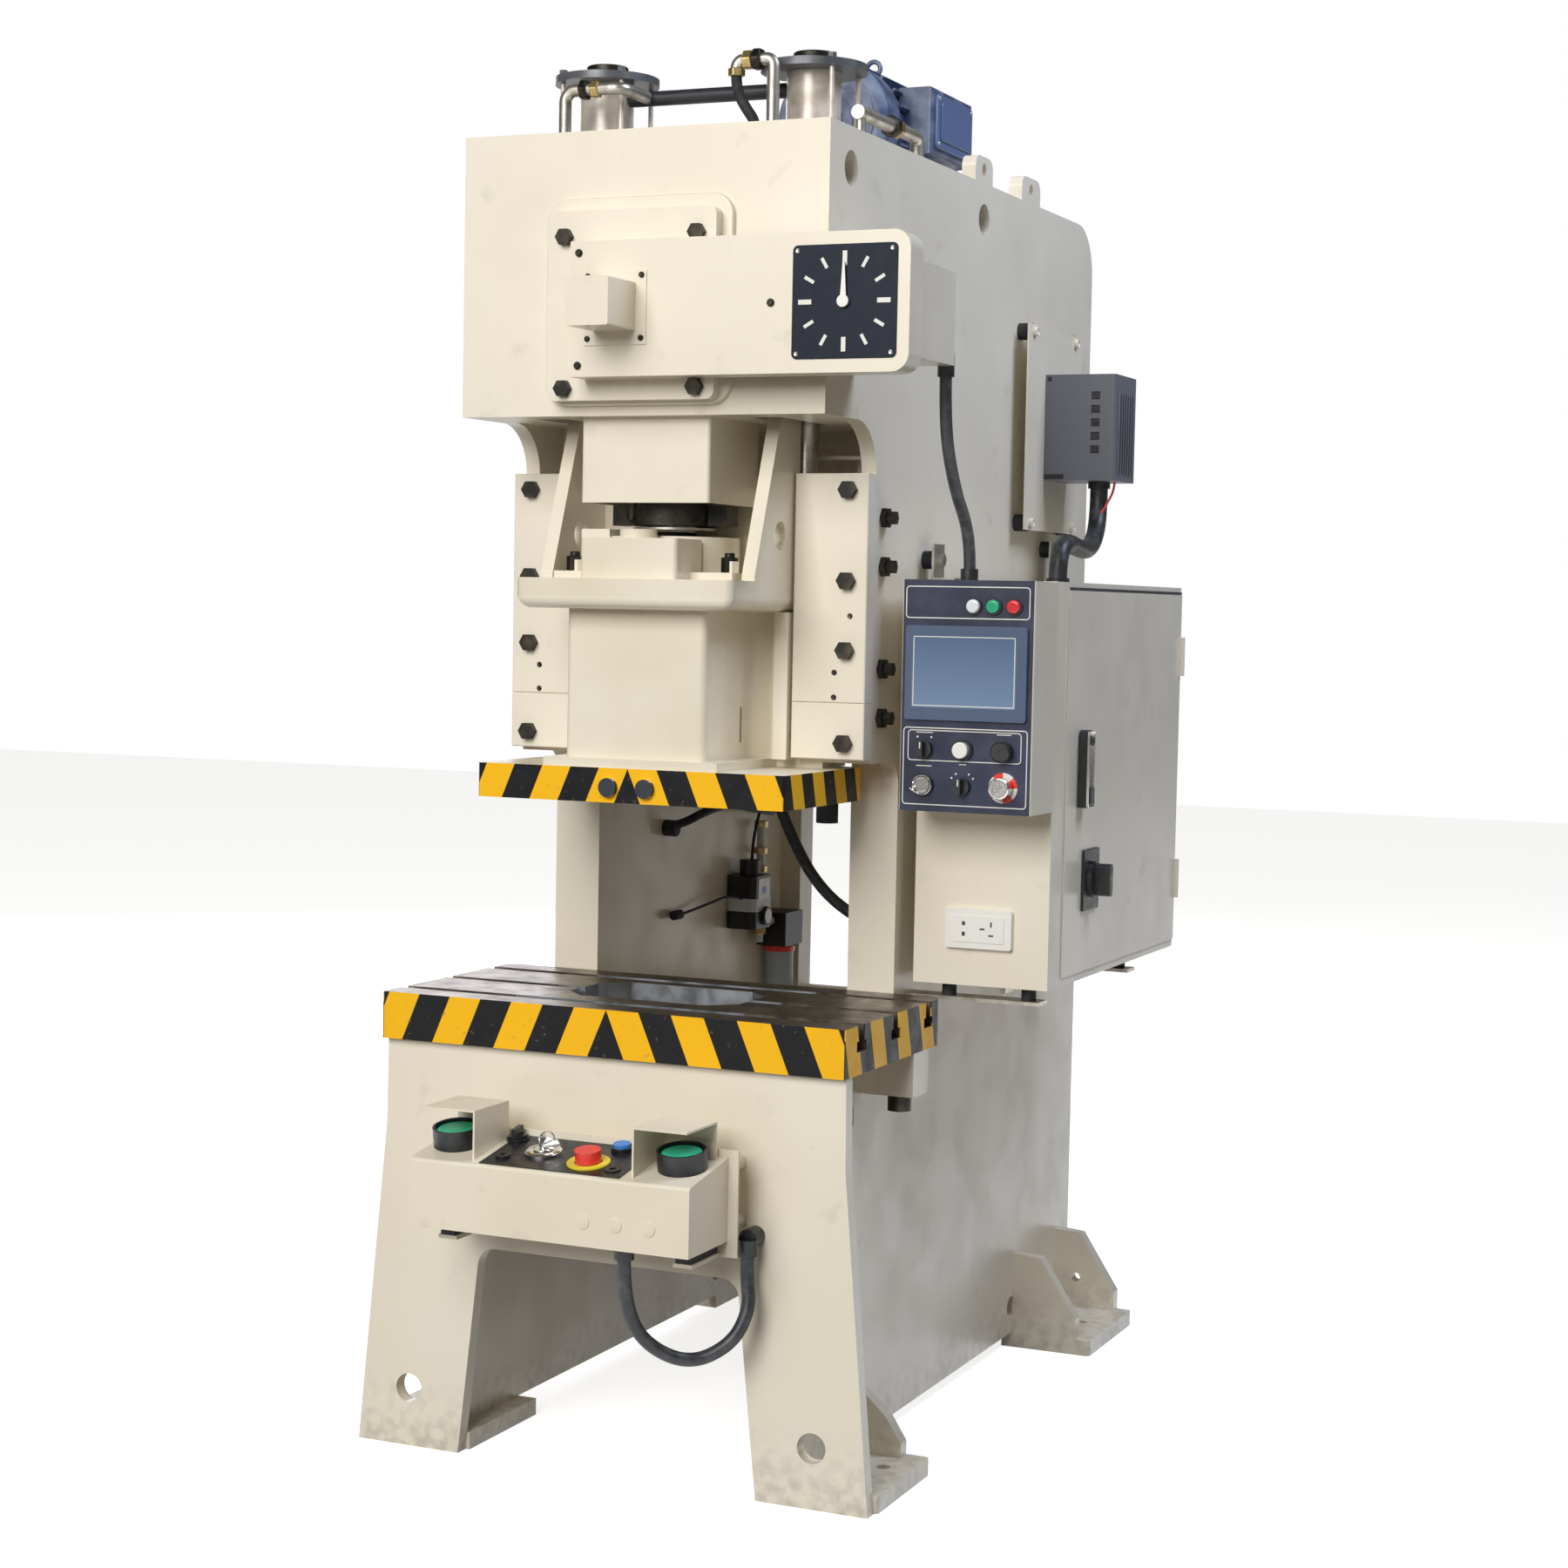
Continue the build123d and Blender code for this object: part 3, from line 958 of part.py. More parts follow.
def flywheel():
    """Rimmed wheel with a web, hub and six round lightening holes."""
    y = (FLYWHEEL_FRONT, FLYWHEEL_FRONT + FLYWHEEL_WIDTH)
    offsets = [PULLEY_FRONT - FLYWHEEL_FRONT + offset for offset in BELT_OFFSETS]
    shape = grooved(FLYWHEEL_R, y, offsets, CRANK_Z)
    for recess in ((y[0], y[0] + 38), (y[1] - 38, y[1])):
        ring = bar_y(0, CRANK_Z, recess, FLYWHEEL_R - 55) - bar_y(0, CRANK_Z, recess, 85)
        shape = shape - ring
    for index in range(6):
        angle = math.radians(60 * index)
        place = (140 * math.cos(angle), CRANK_Z + 140 * math.sin(angle))
        shape = shape - bar_y(*place, y, 32)
    return shape - bar_y(0, CRANK_Z, y, FLYWHEEL_SEAT_R + RUNNING_GAP)


def drive_belts():
    """Two belts round the motor pulley and the flywheel."""
    belts = []
    for offset in BELT_OFFSETS:
        y = (PULLEY_FRONT + offset, PULLEY_FRONT + offset + BELT_WIDTH)
        faces = []
        for grow in (0, BELT_THICK):
            small = Pos(0, MOTOR_Z) * Circle(PULLEY_R - BELT_THICK - 2 + BELT_GAP + grow)
            large = Pos(0, CRANK_Z) * Circle(FLYWHEEL_R - BELT_THICK - 2 + BELT_GAP + grow)
            faces.append(make_hull([*small.edges(), *large.edges()]))
        belts.append(plate_y(faces[1], y) - plate_y(faces[0], y))
    return group(belts)


# Cabinet, pendant head and inverter


def cabinet():
    """Sheet cabinet, open on its right where the door closes it."""
    wall = CABINET_WALL
    rim = 12
    top_rim = 22
    shape = block((CABINET_LEFT, CABINET_RIGHT), (CABINET_FRONT, CABINET_BACK),
                  (CABINET_BOTTOM, CABINET_TOP))
    shape = shape - block((CABINET_LEFT + wall, CABINET_RIGHT - wall),
                          (CABINET_FRONT + wall, CABINET_BACK - wall),
                          (CABINET_BOTTOM + wall, CABINET_TOP - wall))
    shape = shape - block((CABINET_RIGHT - wall, CABINET_RIGHT), (DOOR_FRONT + rim, CABINET_BACK - rim),
                          (CABINET_BOTTOM + top_rim, CABINET_TOP - top_rim))
    tray = block((CABINET_LEFT + 12, CABINET_LEFT + 14), (CABINET_FRONT + 60, CABINET_BACK - 60),
                 (CABINET_BOTTOM + 50, CABINET_TOP - 50))
    for y in (CABINET_FRONT + 100, CABINET_BACK - 100):
        for z in (CABINET_BOTTOM + 80, CABINET_TOP - 80):
            tray = tray + bar_x(y, z, (CABINET_LEFT + wall, CABINET_LEFT + 12), 6)
    return shape + tray


def cabinet_door():
    """Door of the cabinet with two hinge barrels at its rear edge."""
    leaf = block((DOOR_INSIDE, DOOR_OUTSIDE), (DOOR_FRONT, CABINET_BACK - 0.5),
                 (CABINET_BOTTOM + 13, CABINET_TOP - 13))
    leaf = leaf - bar_x(HANDLE_Y, HANDLE_PIVOT_Z, (DOOR_INSIDE, DOOR_OUTSIDE), CONTROL_STEM_R + STEM_GAP)
    leaf = leaf - bar_x(ISOLATOR_Y, ISOLATOR_Z, (DOOR_INSIDE, DOOR_OUTSIDE), CONTROL_STEM_R + STEM_GAP)
    plate = block((DOOR_OUTSIDE, DOOR_OUTSIDE + 5), (ISOLATOR_Y - 40, ISOLATOR_Y + 40),
                  (ISOLATOR_Z - 50, ISOLATOR_Z + 50))
    plate = plate - bar_x(ISOLATOR_Y, ISOLATOR_Z, (DOOR_OUTSIDE, DOOR_OUTSIDE + 5),
                          CONTROL_STEM_R + STEM_GAP)
    barrels = [bar_z(HINGE_X, HINGE_Y, (z, z + 70), 5) for z in (CABINET_BOTTOM + 90, CABINET_TOP - 160)]
    return fuse(leaf, plate, *barrels)


def door_handle():
    """Long swing handle on the door."""
    grip = block((DOOR_OUTSIDE + 1, DOOR_OUTSIDE + 18), (HANDLE_Y - 17, HANDLE_Y + 17), (1040, 1168))
    grip = fillet(grip.edges().filter_by(Axis.X), 10)
    grip = chamfer(grip.faces().sort_by(Axis.X)[-1].edges(), 4)
    stem = bar_x(HANDLE_Y, HANDLE_PIVOT_Z, (DOOR_INSIDE - 12, DOOR_OUTSIDE + 1), CONTROL_STEM_R)
    return grip + stem


def isolator_knob():
    """Rotary knob of the main switch."""
    front = DOOR_OUTSIDE + 5.5
    disc = bar_x(ISOLATOR_Y, ISOLATOR_Z, (front, front + 8), 30)
    grip = block((front + 8, front + 34), (ISOLATOR_Y - 8, ISOLATOR_Y + 8),
                 (ISOLATOR_Z - 27, ISOLATOR_Z + 27))
    grip = fillet(grip.edges().filter_by(Axis.X), 7)
    stem = bar_x(ISOLATOR_Y, ISOLATOR_Z, (DOOR_INSIDE - 15, front), CONTROL_STEM_R)
    return fuse(disc, grip, stem)


def panel_box():
    """Pendant head: a folded box on the cabinet's front, cut for screen, lamps and controls."""
    shape = block((PANEL_LEFT, PANEL_RIGHT), (PANEL_FRONT, CABINET_FRONT), (PANEL_BOTTOM, PANEL_TOP))
    shape = fillet(shape.edges().filter_by(Axis.Z).group_by(Axis.Y)[0], 4)
    inner = block((PANEL_LEFT + SHEET, PANEL_RIGHT - SHEET), (PANEL_FRONT + SHEET, CABINET_FRONT),
                  (PANEL_BOTTOM + SHEET, PANEL_TOP - SHEET))
    shape = shape - inner
    wall = (PANEL_FRONT, PANEL_FRONT + SHEET)
    shape = shape - block((SCREEN_X[0] + 10, SCREEN_X[1] - 10), wall, (SCREEN_Z[0] + 10, SCREEN_Z[1] - 10))
    for x in LAMP_X:
        shape = shape - bar_y(x, LAMP_Z, wall, LAMP_R - 2)
    for x in PANEL_COLUMNS:
        for z in (PANEL_ROW_1, PANEL_ROW_2):
            shape = shape - bar_y(x, z, wall, CONTROL_STEM_R + STEM_GAP)
    return shape


def touch_screen():
    """Screen with its raised frame in front of the panel and its body behind."""
    front = PANEL_FRONT - 6
    frame = block(SCREEN_X, (front, PANEL_FRONT), SCREEN_Z)
    frame = fillet(frame.edges().filter_by(Axis.Y), 5)
    frame = frame - block((SCREEN_X[0] + 12, SCREEN_X[1] - 18), (front, front + 1),
                          (SCREEN_Z[0] + 21, SCREEN_Z[1] - 16))
    body = block((SCREEN_X[0] + 10.5, SCREEN_X[1] - 10.5), (PANEL_FRONT, PANEL_FRONT + 38),
                 (SCREEN_Z[0] + 10.5, SCREEN_Z[1] - 10.5))
    return frame + body


def signal_lamps():
    lamps = []
    for x in LAMP_X:
        dome = bar_y(x, LAMP_Z, (PANEL_FRONT - 9, PANEL_FRONT), LAMP_R)
        dome = fillet(dome.edges().group_by(Axis.Y)[0], 4)
        lamps.append(dome + bar_y(x, LAMP_Z, (PANEL_FRONT, PANEL_FRONT + 20), LAMP_R - 2.5))
    return group(lamps)


def panel_stem(x, z, front):
    """Stem of a control through the panel's front wall."""
    return bar_y(x, z, (front, PANEL_FRONT + 18), CONTROL_STEM_R)


def selector(x, z):
    """Selector knob: a collar with a thumb bar, on its stem."""
    front = PANEL_FRONT - 1
    collar = bar_y(x, z, (front - 8, front), 14)
    bar = block((x - 4, x + 4), (front - 20, front - 8), (z - 13, z + 13))
    bar = fillet(bar.edges().filter_by(Axis.Y), 3)
    return fuse(collar, bar, panel_stem(x, z, front))


def push_button(x, z, radius, reach):
    """Round push button on its stem, held off the panel by its travel."""
    front = PANEL_FRONT - BUTTON_TRAVEL - 1
    cap = bar_y(x, z, (front - reach, front), radius)
    cap = fillet(cap.edges().group_by(Axis.Y)[0], 2)
    return cap + panel_stem(x, z, front)


def round_knob(x, z, radius, reach):
    """Ribbed round knob on its stem."""
    front = PANEL_FRONT - 1
    knob = bar_y(x, z, (front - reach, front), radius)
    knob = chamfer(knob.edges().group_by(Axis.Y)[0], 2)
    return knob + panel_stem(x, z, front)


def key_switch(x, z):
    """Key switch: a collar with the key in its slot."""
    front = PANEL_FRONT - 1
    collar = bar_y(x, z, (front - 9, front), 13)
    key = block((x - 1.2, x + 1.2), (front - 30, front - 9), (z - 9, z + 9))
    return fuse(collar, key, panel_stem(x, z, front))


def inverter():
    """Drive unit with cooling slots along its sides."""
    x = (INVERTER_PLATE_X[1], INVERTER_RIGHT)
    shape = block(x, INVERTER_Y, (INVERTER_BOTTOM, INVERTER_TOP))
    shape = fillet(shape.edges().filter_by(Axis.Z).group_by(Axis.X)[-1], 6)
    for index in range(5):
        z = INVERTER_BOTTOM + 48 + 24 * index
        for y in ((INVERTER_Y[0], INVERTER_Y[0] + 4), (INVERTER_Y[1] - 4, INVERTER_Y[1])):
            shape = shape - block((x[1] - 44, x[1] - 28), y, (z, z + 14))
    return shape


def rubber_buffers():
    """Rubber buffers behind the inverter plate and round the cabinet."""
    buffers = [bar_x(y, z, (FRAME_HALF, INVERTER_PLATE_X[0]), 15) for y, z in INVERTER_BUFFERS]
    buffers += [bar_x(y, z, (FRAME_HALF, CABINET_LEFT), 15) for y, z in CABINET_TABS]
    for y in ARM_Y:
        for x in (CABINET_LEFT + 50, CABINET_RIGHT - 43):
            buffers.append(bar_z(x, y, (ARM_TOP, CABINET_BOTTOM), 12))
    for x in STATION_PAD_X:
        buffers.append(block((x - 12, x + 12), (STATION_FRONT + 40, STATION_BACK), (STATION_BOTTOM - 18, STATION_BOTTOM)))
    return group(buffers)


def mounting_brackets():
    """Inverter plate, cabinet tabs, the two arms under the cabinet and the station's plate."""
    pieces = [block(INVERTER_PLATE_X, (INVERTER_Y[0] - 97, INVERTER_Y[1] + 75),
                    (INVERTER_BOTTOM - 92, INVERTER_TOP + 84))]
    for y, z in CABINET_TABS:
        tab = block((CABINET_LEFT, CABINET_LEFT + 4), (y - 24, y + 24), (CABINET_TOP, z + 26))
        tab = tab + block((CABINET_LEFT, CABINET_LEFT + 40), (y - 24, y + 24),
                          (CABINET_TOP, CABINET_TOP + 4))
        pieces.append(tab + hex_x(y, z, (CABINET_LEFT + 4, CABINET_LEFT + 13), 19))
    for y in ARM_Y:
        arm = block((FRAME_HALF, CABINET_RIGHT - 19), (y - 22, y + 22), (ARM_TOP - 6, ARM_TOP))
        root = block((FRAME_HALF, FRAME_HALF + 6), (y - 22, y + 22), (ARM_TOP - 60, ARM_TOP - 6))
        pieces.append(arm + root)
    plate = block((-BRACKET_HALF, BRACKET_HALF), (STATION_BACK, STATION_BACK + 4), BRACKET_Z)
    for x in STATION_PAD_X:
        plate = plate + block((x - 16, x + 16), (STATION_FRONT + 40, STATION_BACK),
                              (BRACKET_Z[0], STATION_BOTTOM - 18))
    for x in (-BRACKET_HALF + 27, BRACKET_HALF - 27):
        for z in (BRACKET_Z[0] + 44, BRACKET_Z[1] - 28):
            plate = plate + bar_y(x, z, (STATION_BACK + 4, APRON_FRONT), 12)
    pieces.append(plate)
    return group(pieces)


# Two-hand station

def station_top(y):
    """Height of the station's sloping top at a depth."""
    return STATION_FRONT_TOP + (y - STATION_FRONT) * math.tan(STATION_SLOPE)


def station_box():
    """Sloping control box, open at its back, with a folded guard beside each palm button."""
    outer = outline([(STATION_FRONT, STATION_BOTTOM), (STATION_BACK, STATION_BOTTOM),
                     (STATION_BACK, STATION_BACK_TOP), (STATION_FRONT, STATION_FRONT_TOP)], {3: 6})
    inner = outline([(STATION_FRONT + SHEET, STATION_BOTTOM + SHEET), (STATION_BACK, STATION_BOTTOM + SHEET),
                     (STATION_BACK, STATION_BACK_TOP - SHEET),
                     (STATION_FRONT + SHEET, STATION_FRONT_TOP - SHEET)])
    shape = plate_x(outer, (-STATION_HALF, STATION_HALF))
    shape = shape - plate_x(inner, (-STATION_HALF + SHEET, STATION_HALF - SHEET))
    wall_face = outline([(GUARD_Y[0], station_top(GUARD_Y[0]) - 1), (GUARD_Y[1], station_top(GUARD_Y[1]) - 1),
                         (GUARD_Y[1], GUARD_TOP_Z), (GUARD_Y[0], GUARD_TOP_Z)])
    wall = plate_x(wall_face, (GUARD_INNER, GUARD_INNER + SHEET))
    roof = block((GUARD_INNER, GUARD_OUTER), GUARD_Y, (GUARD_TOP_Z - SHEET, GUARD_TOP_Z))
    back = block((GUARD_INNER, GUARD_OUTER), (GUARD_Y[1] - SHEET, GUARD_Y[1]),
                 (station_top(GUARD_Y[1]) - 1, GUARD_TOP_Z))
    shape = fuse(shape, *both_sides(fuse(wall, roof, back)))
    for x, y in (*PALM_PLACES, *STATION_CONTROLS):
        shape = shape - tilted(x, y, -30, 30, CONTROL_STEM_R + STEM_GAP)
    return shape


def tilted(x, y, low, high, radius):
    """A round bar square to the station's top, between two heights above it."""
    place = Pos(x, y, station_top(y)) * Rot(math.degrees(STATION_SLOPE), 0, 0)
    return place * Pos(0, 0, (low + high) / 2) * Cylinder(radius, high - low)


def palm_button(x, y):
    """Large palm button on its stem."""
    cap = tilted(x, y, PALM_TRAVEL + 1, PALM_TRAVEL + 14, PALM_R)
    dome = tilted(x, y, PALM_TRAVEL + 14, PALM_TRAVEL + 30, PALM_R - 7)
    return fuse(cap, dome, tilted(x, y, -25, PALM_TRAVEL + 1, CONTROL_STEM_R))


def station_button(x, y, radius, reach):
    """Push button on the station."""
    cap = tilted(x, y, BUTTON_TRAVEL + 1, BUTTON_TRAVEL + 1 + reach, radius)
    return cap + tilted(x, y, -25, BUTTON_TRAVEL + 1, CONTROL_STEM_R)


def station_switch(x, y, bar_half, bar_length, reach):
    """Turning switch on the station: a collar with a bar or key across it."""
    collar = tilted(x, y, 1, 9, 14)
    place = Pos(x, y, station_top(y)) * Rot(math.degrees(STATION_SLOPE), 0, 0)
    bar = place * Pos(0, 0, 9 + reach / 2) * Box(2 * bar_half, bar_length, reach)
    return fuse(collar, bar, tilted(x, y, -25, 1, CONTROL_STEM_R))


# Air unit, glands and cords

def air_unit():
    """Regulator and filter bowl with their pipe, on the left wall of the throat."""
    wall = -SIDE_INSIDE
    regulator = block((wall, wall + 62), (970, 1050), (741, 843))
    regulator = fillet(regulator.edges().filter_by(Axis.Z), 10)
    knob = bar_z(wall + 32, 1010, (843, 872), 20)
    filter_body = block((wall, wall + 62), (1118, 1200), (694, 760))
    bowl = bar_z(wall + 32, 1159, (603, 694), 27)
    bowl = fillet(bowl.edges().group_by(Axis.Z)[0], 12)
    link = bar_y(wall + 32, 725 + 20, (1050, 1118), 9)
    riser = bar_z(wall + 20, 1085, (704, 938), 8)
    return group([fuse(regulator, knob, filter_body, bowl, link, riser)])


def cable_glands():
    """Glands and elbows at the ends of the conduits."""
    pieces = []
    x, y, z = ARM_CONDUIT[0]
    elbow_z = z + 35
    pieces.append(bar_z(x, y, (z, elbow_z), 13) + bar_y(x, elbow_z - 2, (CAM_BOX_BACK, y), 13))
    x, y, z = ARM_CONDUIT[-1]
    pieces.append(bar_z(x, y, (PANEL_TOP, z), 14))
    x, y, z = STATION_CONDUIT[0]
    pieces.append(bar_z(x, y, (z, STATION_BOTTOM), 15))
    x, y, z = STATION_CONDUIT[-1]
    pieces.append(bar_z(x, y, (z, z + 25), 15) + bar_y(x, z + 25, (y, APRON_FRONT), 15))
    x, y, z = INVERTER_CABLE[0]
    pieces.append(bar_z(x, y, (z, INVERTER_BOTTOM), 20))
    x, y, z = INVERTER_CABLE[-1]
    pieces.append(bar_z(x, y, (CABINET_TOP, z), 20))
    return group(pieces)


nodes = {
    "frame_right": frame_side(),
    "frame_left": mirror(frame_side(), Plane.YZ),
    "leg_apron": leg_apron(),
    "bed": bed(),
    "bolster": bolster(),
    "head_box": head_box(),
    "crank_bushes": crank_bushes(),
    "rear_cover": rear_cover(),
    "gib_plate_right": gib_plate(),
    "gib_plate_left": mirror(gib_plate(), Plane.YZ),
    "frame_bolts": frame_bolts(),
    "crank_cover": crank_cover(),
    "dial_arm": dial_arm(),
    "cam_box": cam_box(),
    "crank_end_cap": crank_end_cap(),
    "rod_guard": rod_guard(),
    "balance_cylinders": balance_cylinders(),
    "air_pipes": air_pipes(),
    "motor": motor(),
    "drive_belts": drive_belts(),
    "inverter": inverter(),
    "rubber_buffers": rubber_buffers(),
    "mounting_brackets": mounting_brackets(),
    "cabinet": cabinet(),
    "panel_box": panel_box(),
    "touch_screen": touch_screen(),
    "signal_lamps": signal_lamps(),
    "cable_glands": cable_glands(),
    "station_box": station_box(),
    "air_unit": air_unit(),
    "arm_conduit": cord("arm_conduit", ARM_CONDUIT, CONDUIT),
    "station_conduit": cord("station_conduit", STATION_CONDUIT, STATION_CONDUIT_SIZE),
    "inverter_cable": cord("inverter_cable", INVERTER_CABLE, BUNDLE),
    "air_hose": cord("air_hose", AIR_HOSE, HOSE),
    "crankshaft": crankshaft(),
    "connecting_rod": connecting_rod(),
    "ring_nut": ring_nut(),
    "adjusting_screw": adjusting_screw(),
    "ram": ram(),
    "slide_plate": slide_plate(),
    "ball_seat": ball_seat(),
    "balance_rods": balance_rods(),
    "flywheel": flywheel(),
    "motor_pulley": motor_pulley(),
    "dial_pointer": dial_pointer(),
    "cabinet_door": cabinet_door(),
    "door_handle": door_handle(),
    "isolator_knob": isolator_knob(),
    "mode_selector": selector(PANEL_COLUMNS[0], PANEL_ROW_1),
    "white_button": push_button(PANEL_COLUMNS[1], PANEL_ROW_1, 13, 12),
    "black_knob": round_knob(PANEL_COLUMNS[2], PANEL_ROW_1, 16, 20),
    "key_switch": key_switch(PANEL_COLUMNS[0], PANEL_ROW_2),
    "lower_selector": selector(PANEL_COLUMNS[1], PANEL_ROW_2),
    "ring_knob": push_button(PANEL_COLUMNS[2], PANEL_ROW_2, 17, 18),
    "palm_left": palm_button(*PALM_PLACES[0]),
    "palm_right": palm_button(*PALM_PLACES[1]),
    "station_key": station_switch(*STATION_CONTROLS[0], 1.2, 18, 20),
    "stop_button": station_button(*STATION_CONTROLS[1], 20, 18),
    "blue_button": station_button(*STATION_CONTROLS[2], 13, 8),
    "station_selector": station_switch(*STATION_CONTROLS[3], 4, 26, 12),
}

for name, shape in nodes.items():
    export_step(Pos(0, -ANCHOR_MID_Y, 0) * shape, f"parts/{name}.step")
print(len(nodes), "parts written")
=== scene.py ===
import json
import math

import bmesh
import bpy
from bpy.props import FloatProperty, FloatVectorProperty, IntProperty, PointerProperty
from mathutils import Euler, Matrix, Vector


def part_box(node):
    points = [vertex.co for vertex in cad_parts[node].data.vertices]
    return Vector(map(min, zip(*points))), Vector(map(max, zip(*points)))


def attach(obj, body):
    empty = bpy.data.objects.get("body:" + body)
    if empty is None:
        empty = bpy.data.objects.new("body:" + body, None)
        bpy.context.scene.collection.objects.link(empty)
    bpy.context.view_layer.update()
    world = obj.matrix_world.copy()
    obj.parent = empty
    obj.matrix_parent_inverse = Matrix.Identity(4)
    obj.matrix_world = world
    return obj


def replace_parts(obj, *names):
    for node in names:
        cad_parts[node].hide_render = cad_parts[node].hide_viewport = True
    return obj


bl_info = {
    "name": "Punch press dressing",
    "version": (1, 0, 0),
    "blender": (4, 5, 0),
    "location": "3D View > Sidebar > Press",
    "description": "Finishes and small pieces of an open-front punch press",
    "category": "Object",
}

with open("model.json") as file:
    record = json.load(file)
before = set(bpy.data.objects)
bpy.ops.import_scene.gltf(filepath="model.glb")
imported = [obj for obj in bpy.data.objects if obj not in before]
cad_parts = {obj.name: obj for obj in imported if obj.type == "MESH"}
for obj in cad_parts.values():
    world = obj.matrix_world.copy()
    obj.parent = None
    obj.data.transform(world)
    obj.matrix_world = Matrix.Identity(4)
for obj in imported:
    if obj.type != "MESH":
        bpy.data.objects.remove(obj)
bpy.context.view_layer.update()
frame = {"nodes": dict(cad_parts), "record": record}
NODES = frame["nodes"]

# Sizes are in millimetres and Y is counted from the front face of the head, which lies
# this far in front of the middle of the four floor anchors.
HEAD_FRONT = 600


def place(x, y, z):
    """A point of the press, in metres."""
    return Vector((x, y - HEAD_FRONT, z)) / 1000


# Places that several pieces share, in millimetres
CRANK_Z = 1806
ARM_FRONT = -85
DIAL_X = 377
POINTER_HOLE = 6.6
GIB_FACE = 174.4
PANEL_FRONT = 252
PANEL_COLUMNS = (388, 453, 521)
PANEL_ROWS = (1140, 1083)
# The three controls of the panel that more than one piece belongs to
MODE, KEY, LOWER = ((PANEL_COLUMNS[column], PANEL_ROWS[row]) for column, row in ((0, 0), (0, 1), (1, 1)))
DOT_CIRCLE = 22
SOCKET_FRONT = 354
LAMPS = (466, 499, 533)
LAMP_Z = 1366
BUTTON_HOLE = 9
STATION_FRONT, STATION_FRONT_TOP = -262, 514
STATION_BACK, STATION_BACK_TOP = -128, 537
STATION_TILT = math.atan2(STATION_BACK_TOP - STATION_FRONT_TOP, STATION_BACK - STATION_FRONT)
LEAN = (STATION_TILT, 0, 0)
STATION_PLATE = (-257, -126)
STATION_KEY = (-44, -191)
STATION_STOP, STOP_HEAD = (44, -211), 20
STATION_BLUE, BLUE_HEAD = (68, -148), 13
STATION_SELECTOR = (-112, -148)
PALMS = {"palm_left": (-193, -190), "palm_right": (190, -190)}
PALM_SHROUD, PALM_SHROUD_HOLE = 37.5, 33.7
SIDE_FACE = 313
THROAT_WALL = -288
BALANCER_Y = 232
DOOR_FACE = 567.3

# Borders between two finishes on one solid, in metres along the axes of the frame
BALANCER_BARREL = (2.0975, 2.2015)
ZINC_BRACKETS = (0.56, 1.5)
JOINING_PIPE = (0.0, -0.368, 2.178)
JOINING_PIPE_REACH = (0.141, 0.016, 0.016)
DIE_HOLE_REACH = 0.2
PICTURE_X = (0.366, 0.540)
PICTURE_Z = (1.206, 1.320)
GLOW_Z = (1.20, 1.33)
MEMBRANE_BACK = -0.3474
BOWL_TOP = 0.694
AIR_UNIT_GAP = (0.46, 0.51)
REGULATOR_BODY = (0.775, 0.8)


# Shaping by hand tools


def clear_selection():
    bpy.ops.object.select_all(action="DESELECT")


def take_up(obj):
    """Makes one piece the only selected and active one."""
    clear_selection()
    obj.select_set(True)
    bpy.context.view_layer.objects.active = obj


def settled():
    """The piece that was just added, with its place fixed in its mesh."""
    obj = bpy.context.object
    take_up(obj)
    bpy.ops.object.transform_apply(location=True, rotation=True, scale=True)
    return obj


def edit_all(obj):
    """Enters edit mode with everything selected."""
    take_up(obj)
    bpy.ops.object.mode_set(mode="EDIT")
    bpy.ops.mesh.select_all(action="SELECT")


def done_editing():
    bpy.ops.object.mode_set(mode="OBJECT")


def choose(obj, kind, test):
    """Enters edit mode with only the faces or the edges selected that pass a test."""
    take_up(obj)
    bpy.ops.object.mode_set(mode="EDIT")
    bpy.ops.mesh.select_mode(type=kind)
    bpy.ops.mesh.select_all(action="DESELECT")
    mesh = bmesh.from_edit_mesh(obj.data)
    chosen = [part for part in (mesh.faces if kind == "FACE" else mesh.edges) if test(part)]
    if not chosen:
        raise RuntimeError(f"{obj.name}: nothing to work on")
    for part in chosen:
        part.select_set(True)
    bmesh.update_edit_mesh(obj.data)


def edge_round(obj, width, segments=2):
    """Bevels every edge of a piece in edit mode."""
    edit_all(obj)
    bpy.ops.mesh.bevel(offset=width / 1000, segments=segments, affect="EDGES", clamp_overlap=True)
    done_editing()
    return obj


def block(x, y, z, edge=0.6, segments=2):
    """A rectangular piece between two limits on each axis, with its edges broken."""
    low = place(x[0], y[0], z[0])
    high = place(x[1], y[1], z[1])
    clear_selection()
    bpy.ops.mesh.primitive_cube_add(size=1, location=(low + high) / 2, scale=high - low)
    obj = settled()
    return edge_round(obj, edge, segments) if edge else obj


TURNS = {"X": (0, math.pi / 2, 0), "Y": (math.pi / 2, 0, 0), "Z": (0, 0, 0)}


def disc(centre, radius, length, axis="Z", sides=48, turn=None):
    """A round piece whose middle is at a point, along an axis or with a turn of its own."""
    clear_selection()
    bpy.ops.mesh.primitive_cylinder_add(
        vertices=sides, radius=radius / 1000, depth=length / 1000,
        location=place(*centre), rotation=turn or TURNS[axis])
    return settled()


def end_face(axis, sign):
    """A test for the faces that look along an axis."""
    index = "XYZ".index(axis)
    return lambda face: face.normal[index] * sign > 0.9


def inset_faces(obj, test, width, depth=0.0):
    """Insets the chosen faces and pushes them in or out."""
    choose(obj, "FACE", test)
    bpy.ops.mesh.inset(thickness=width / 1000, depth=depth / 1000)
    done_editing()


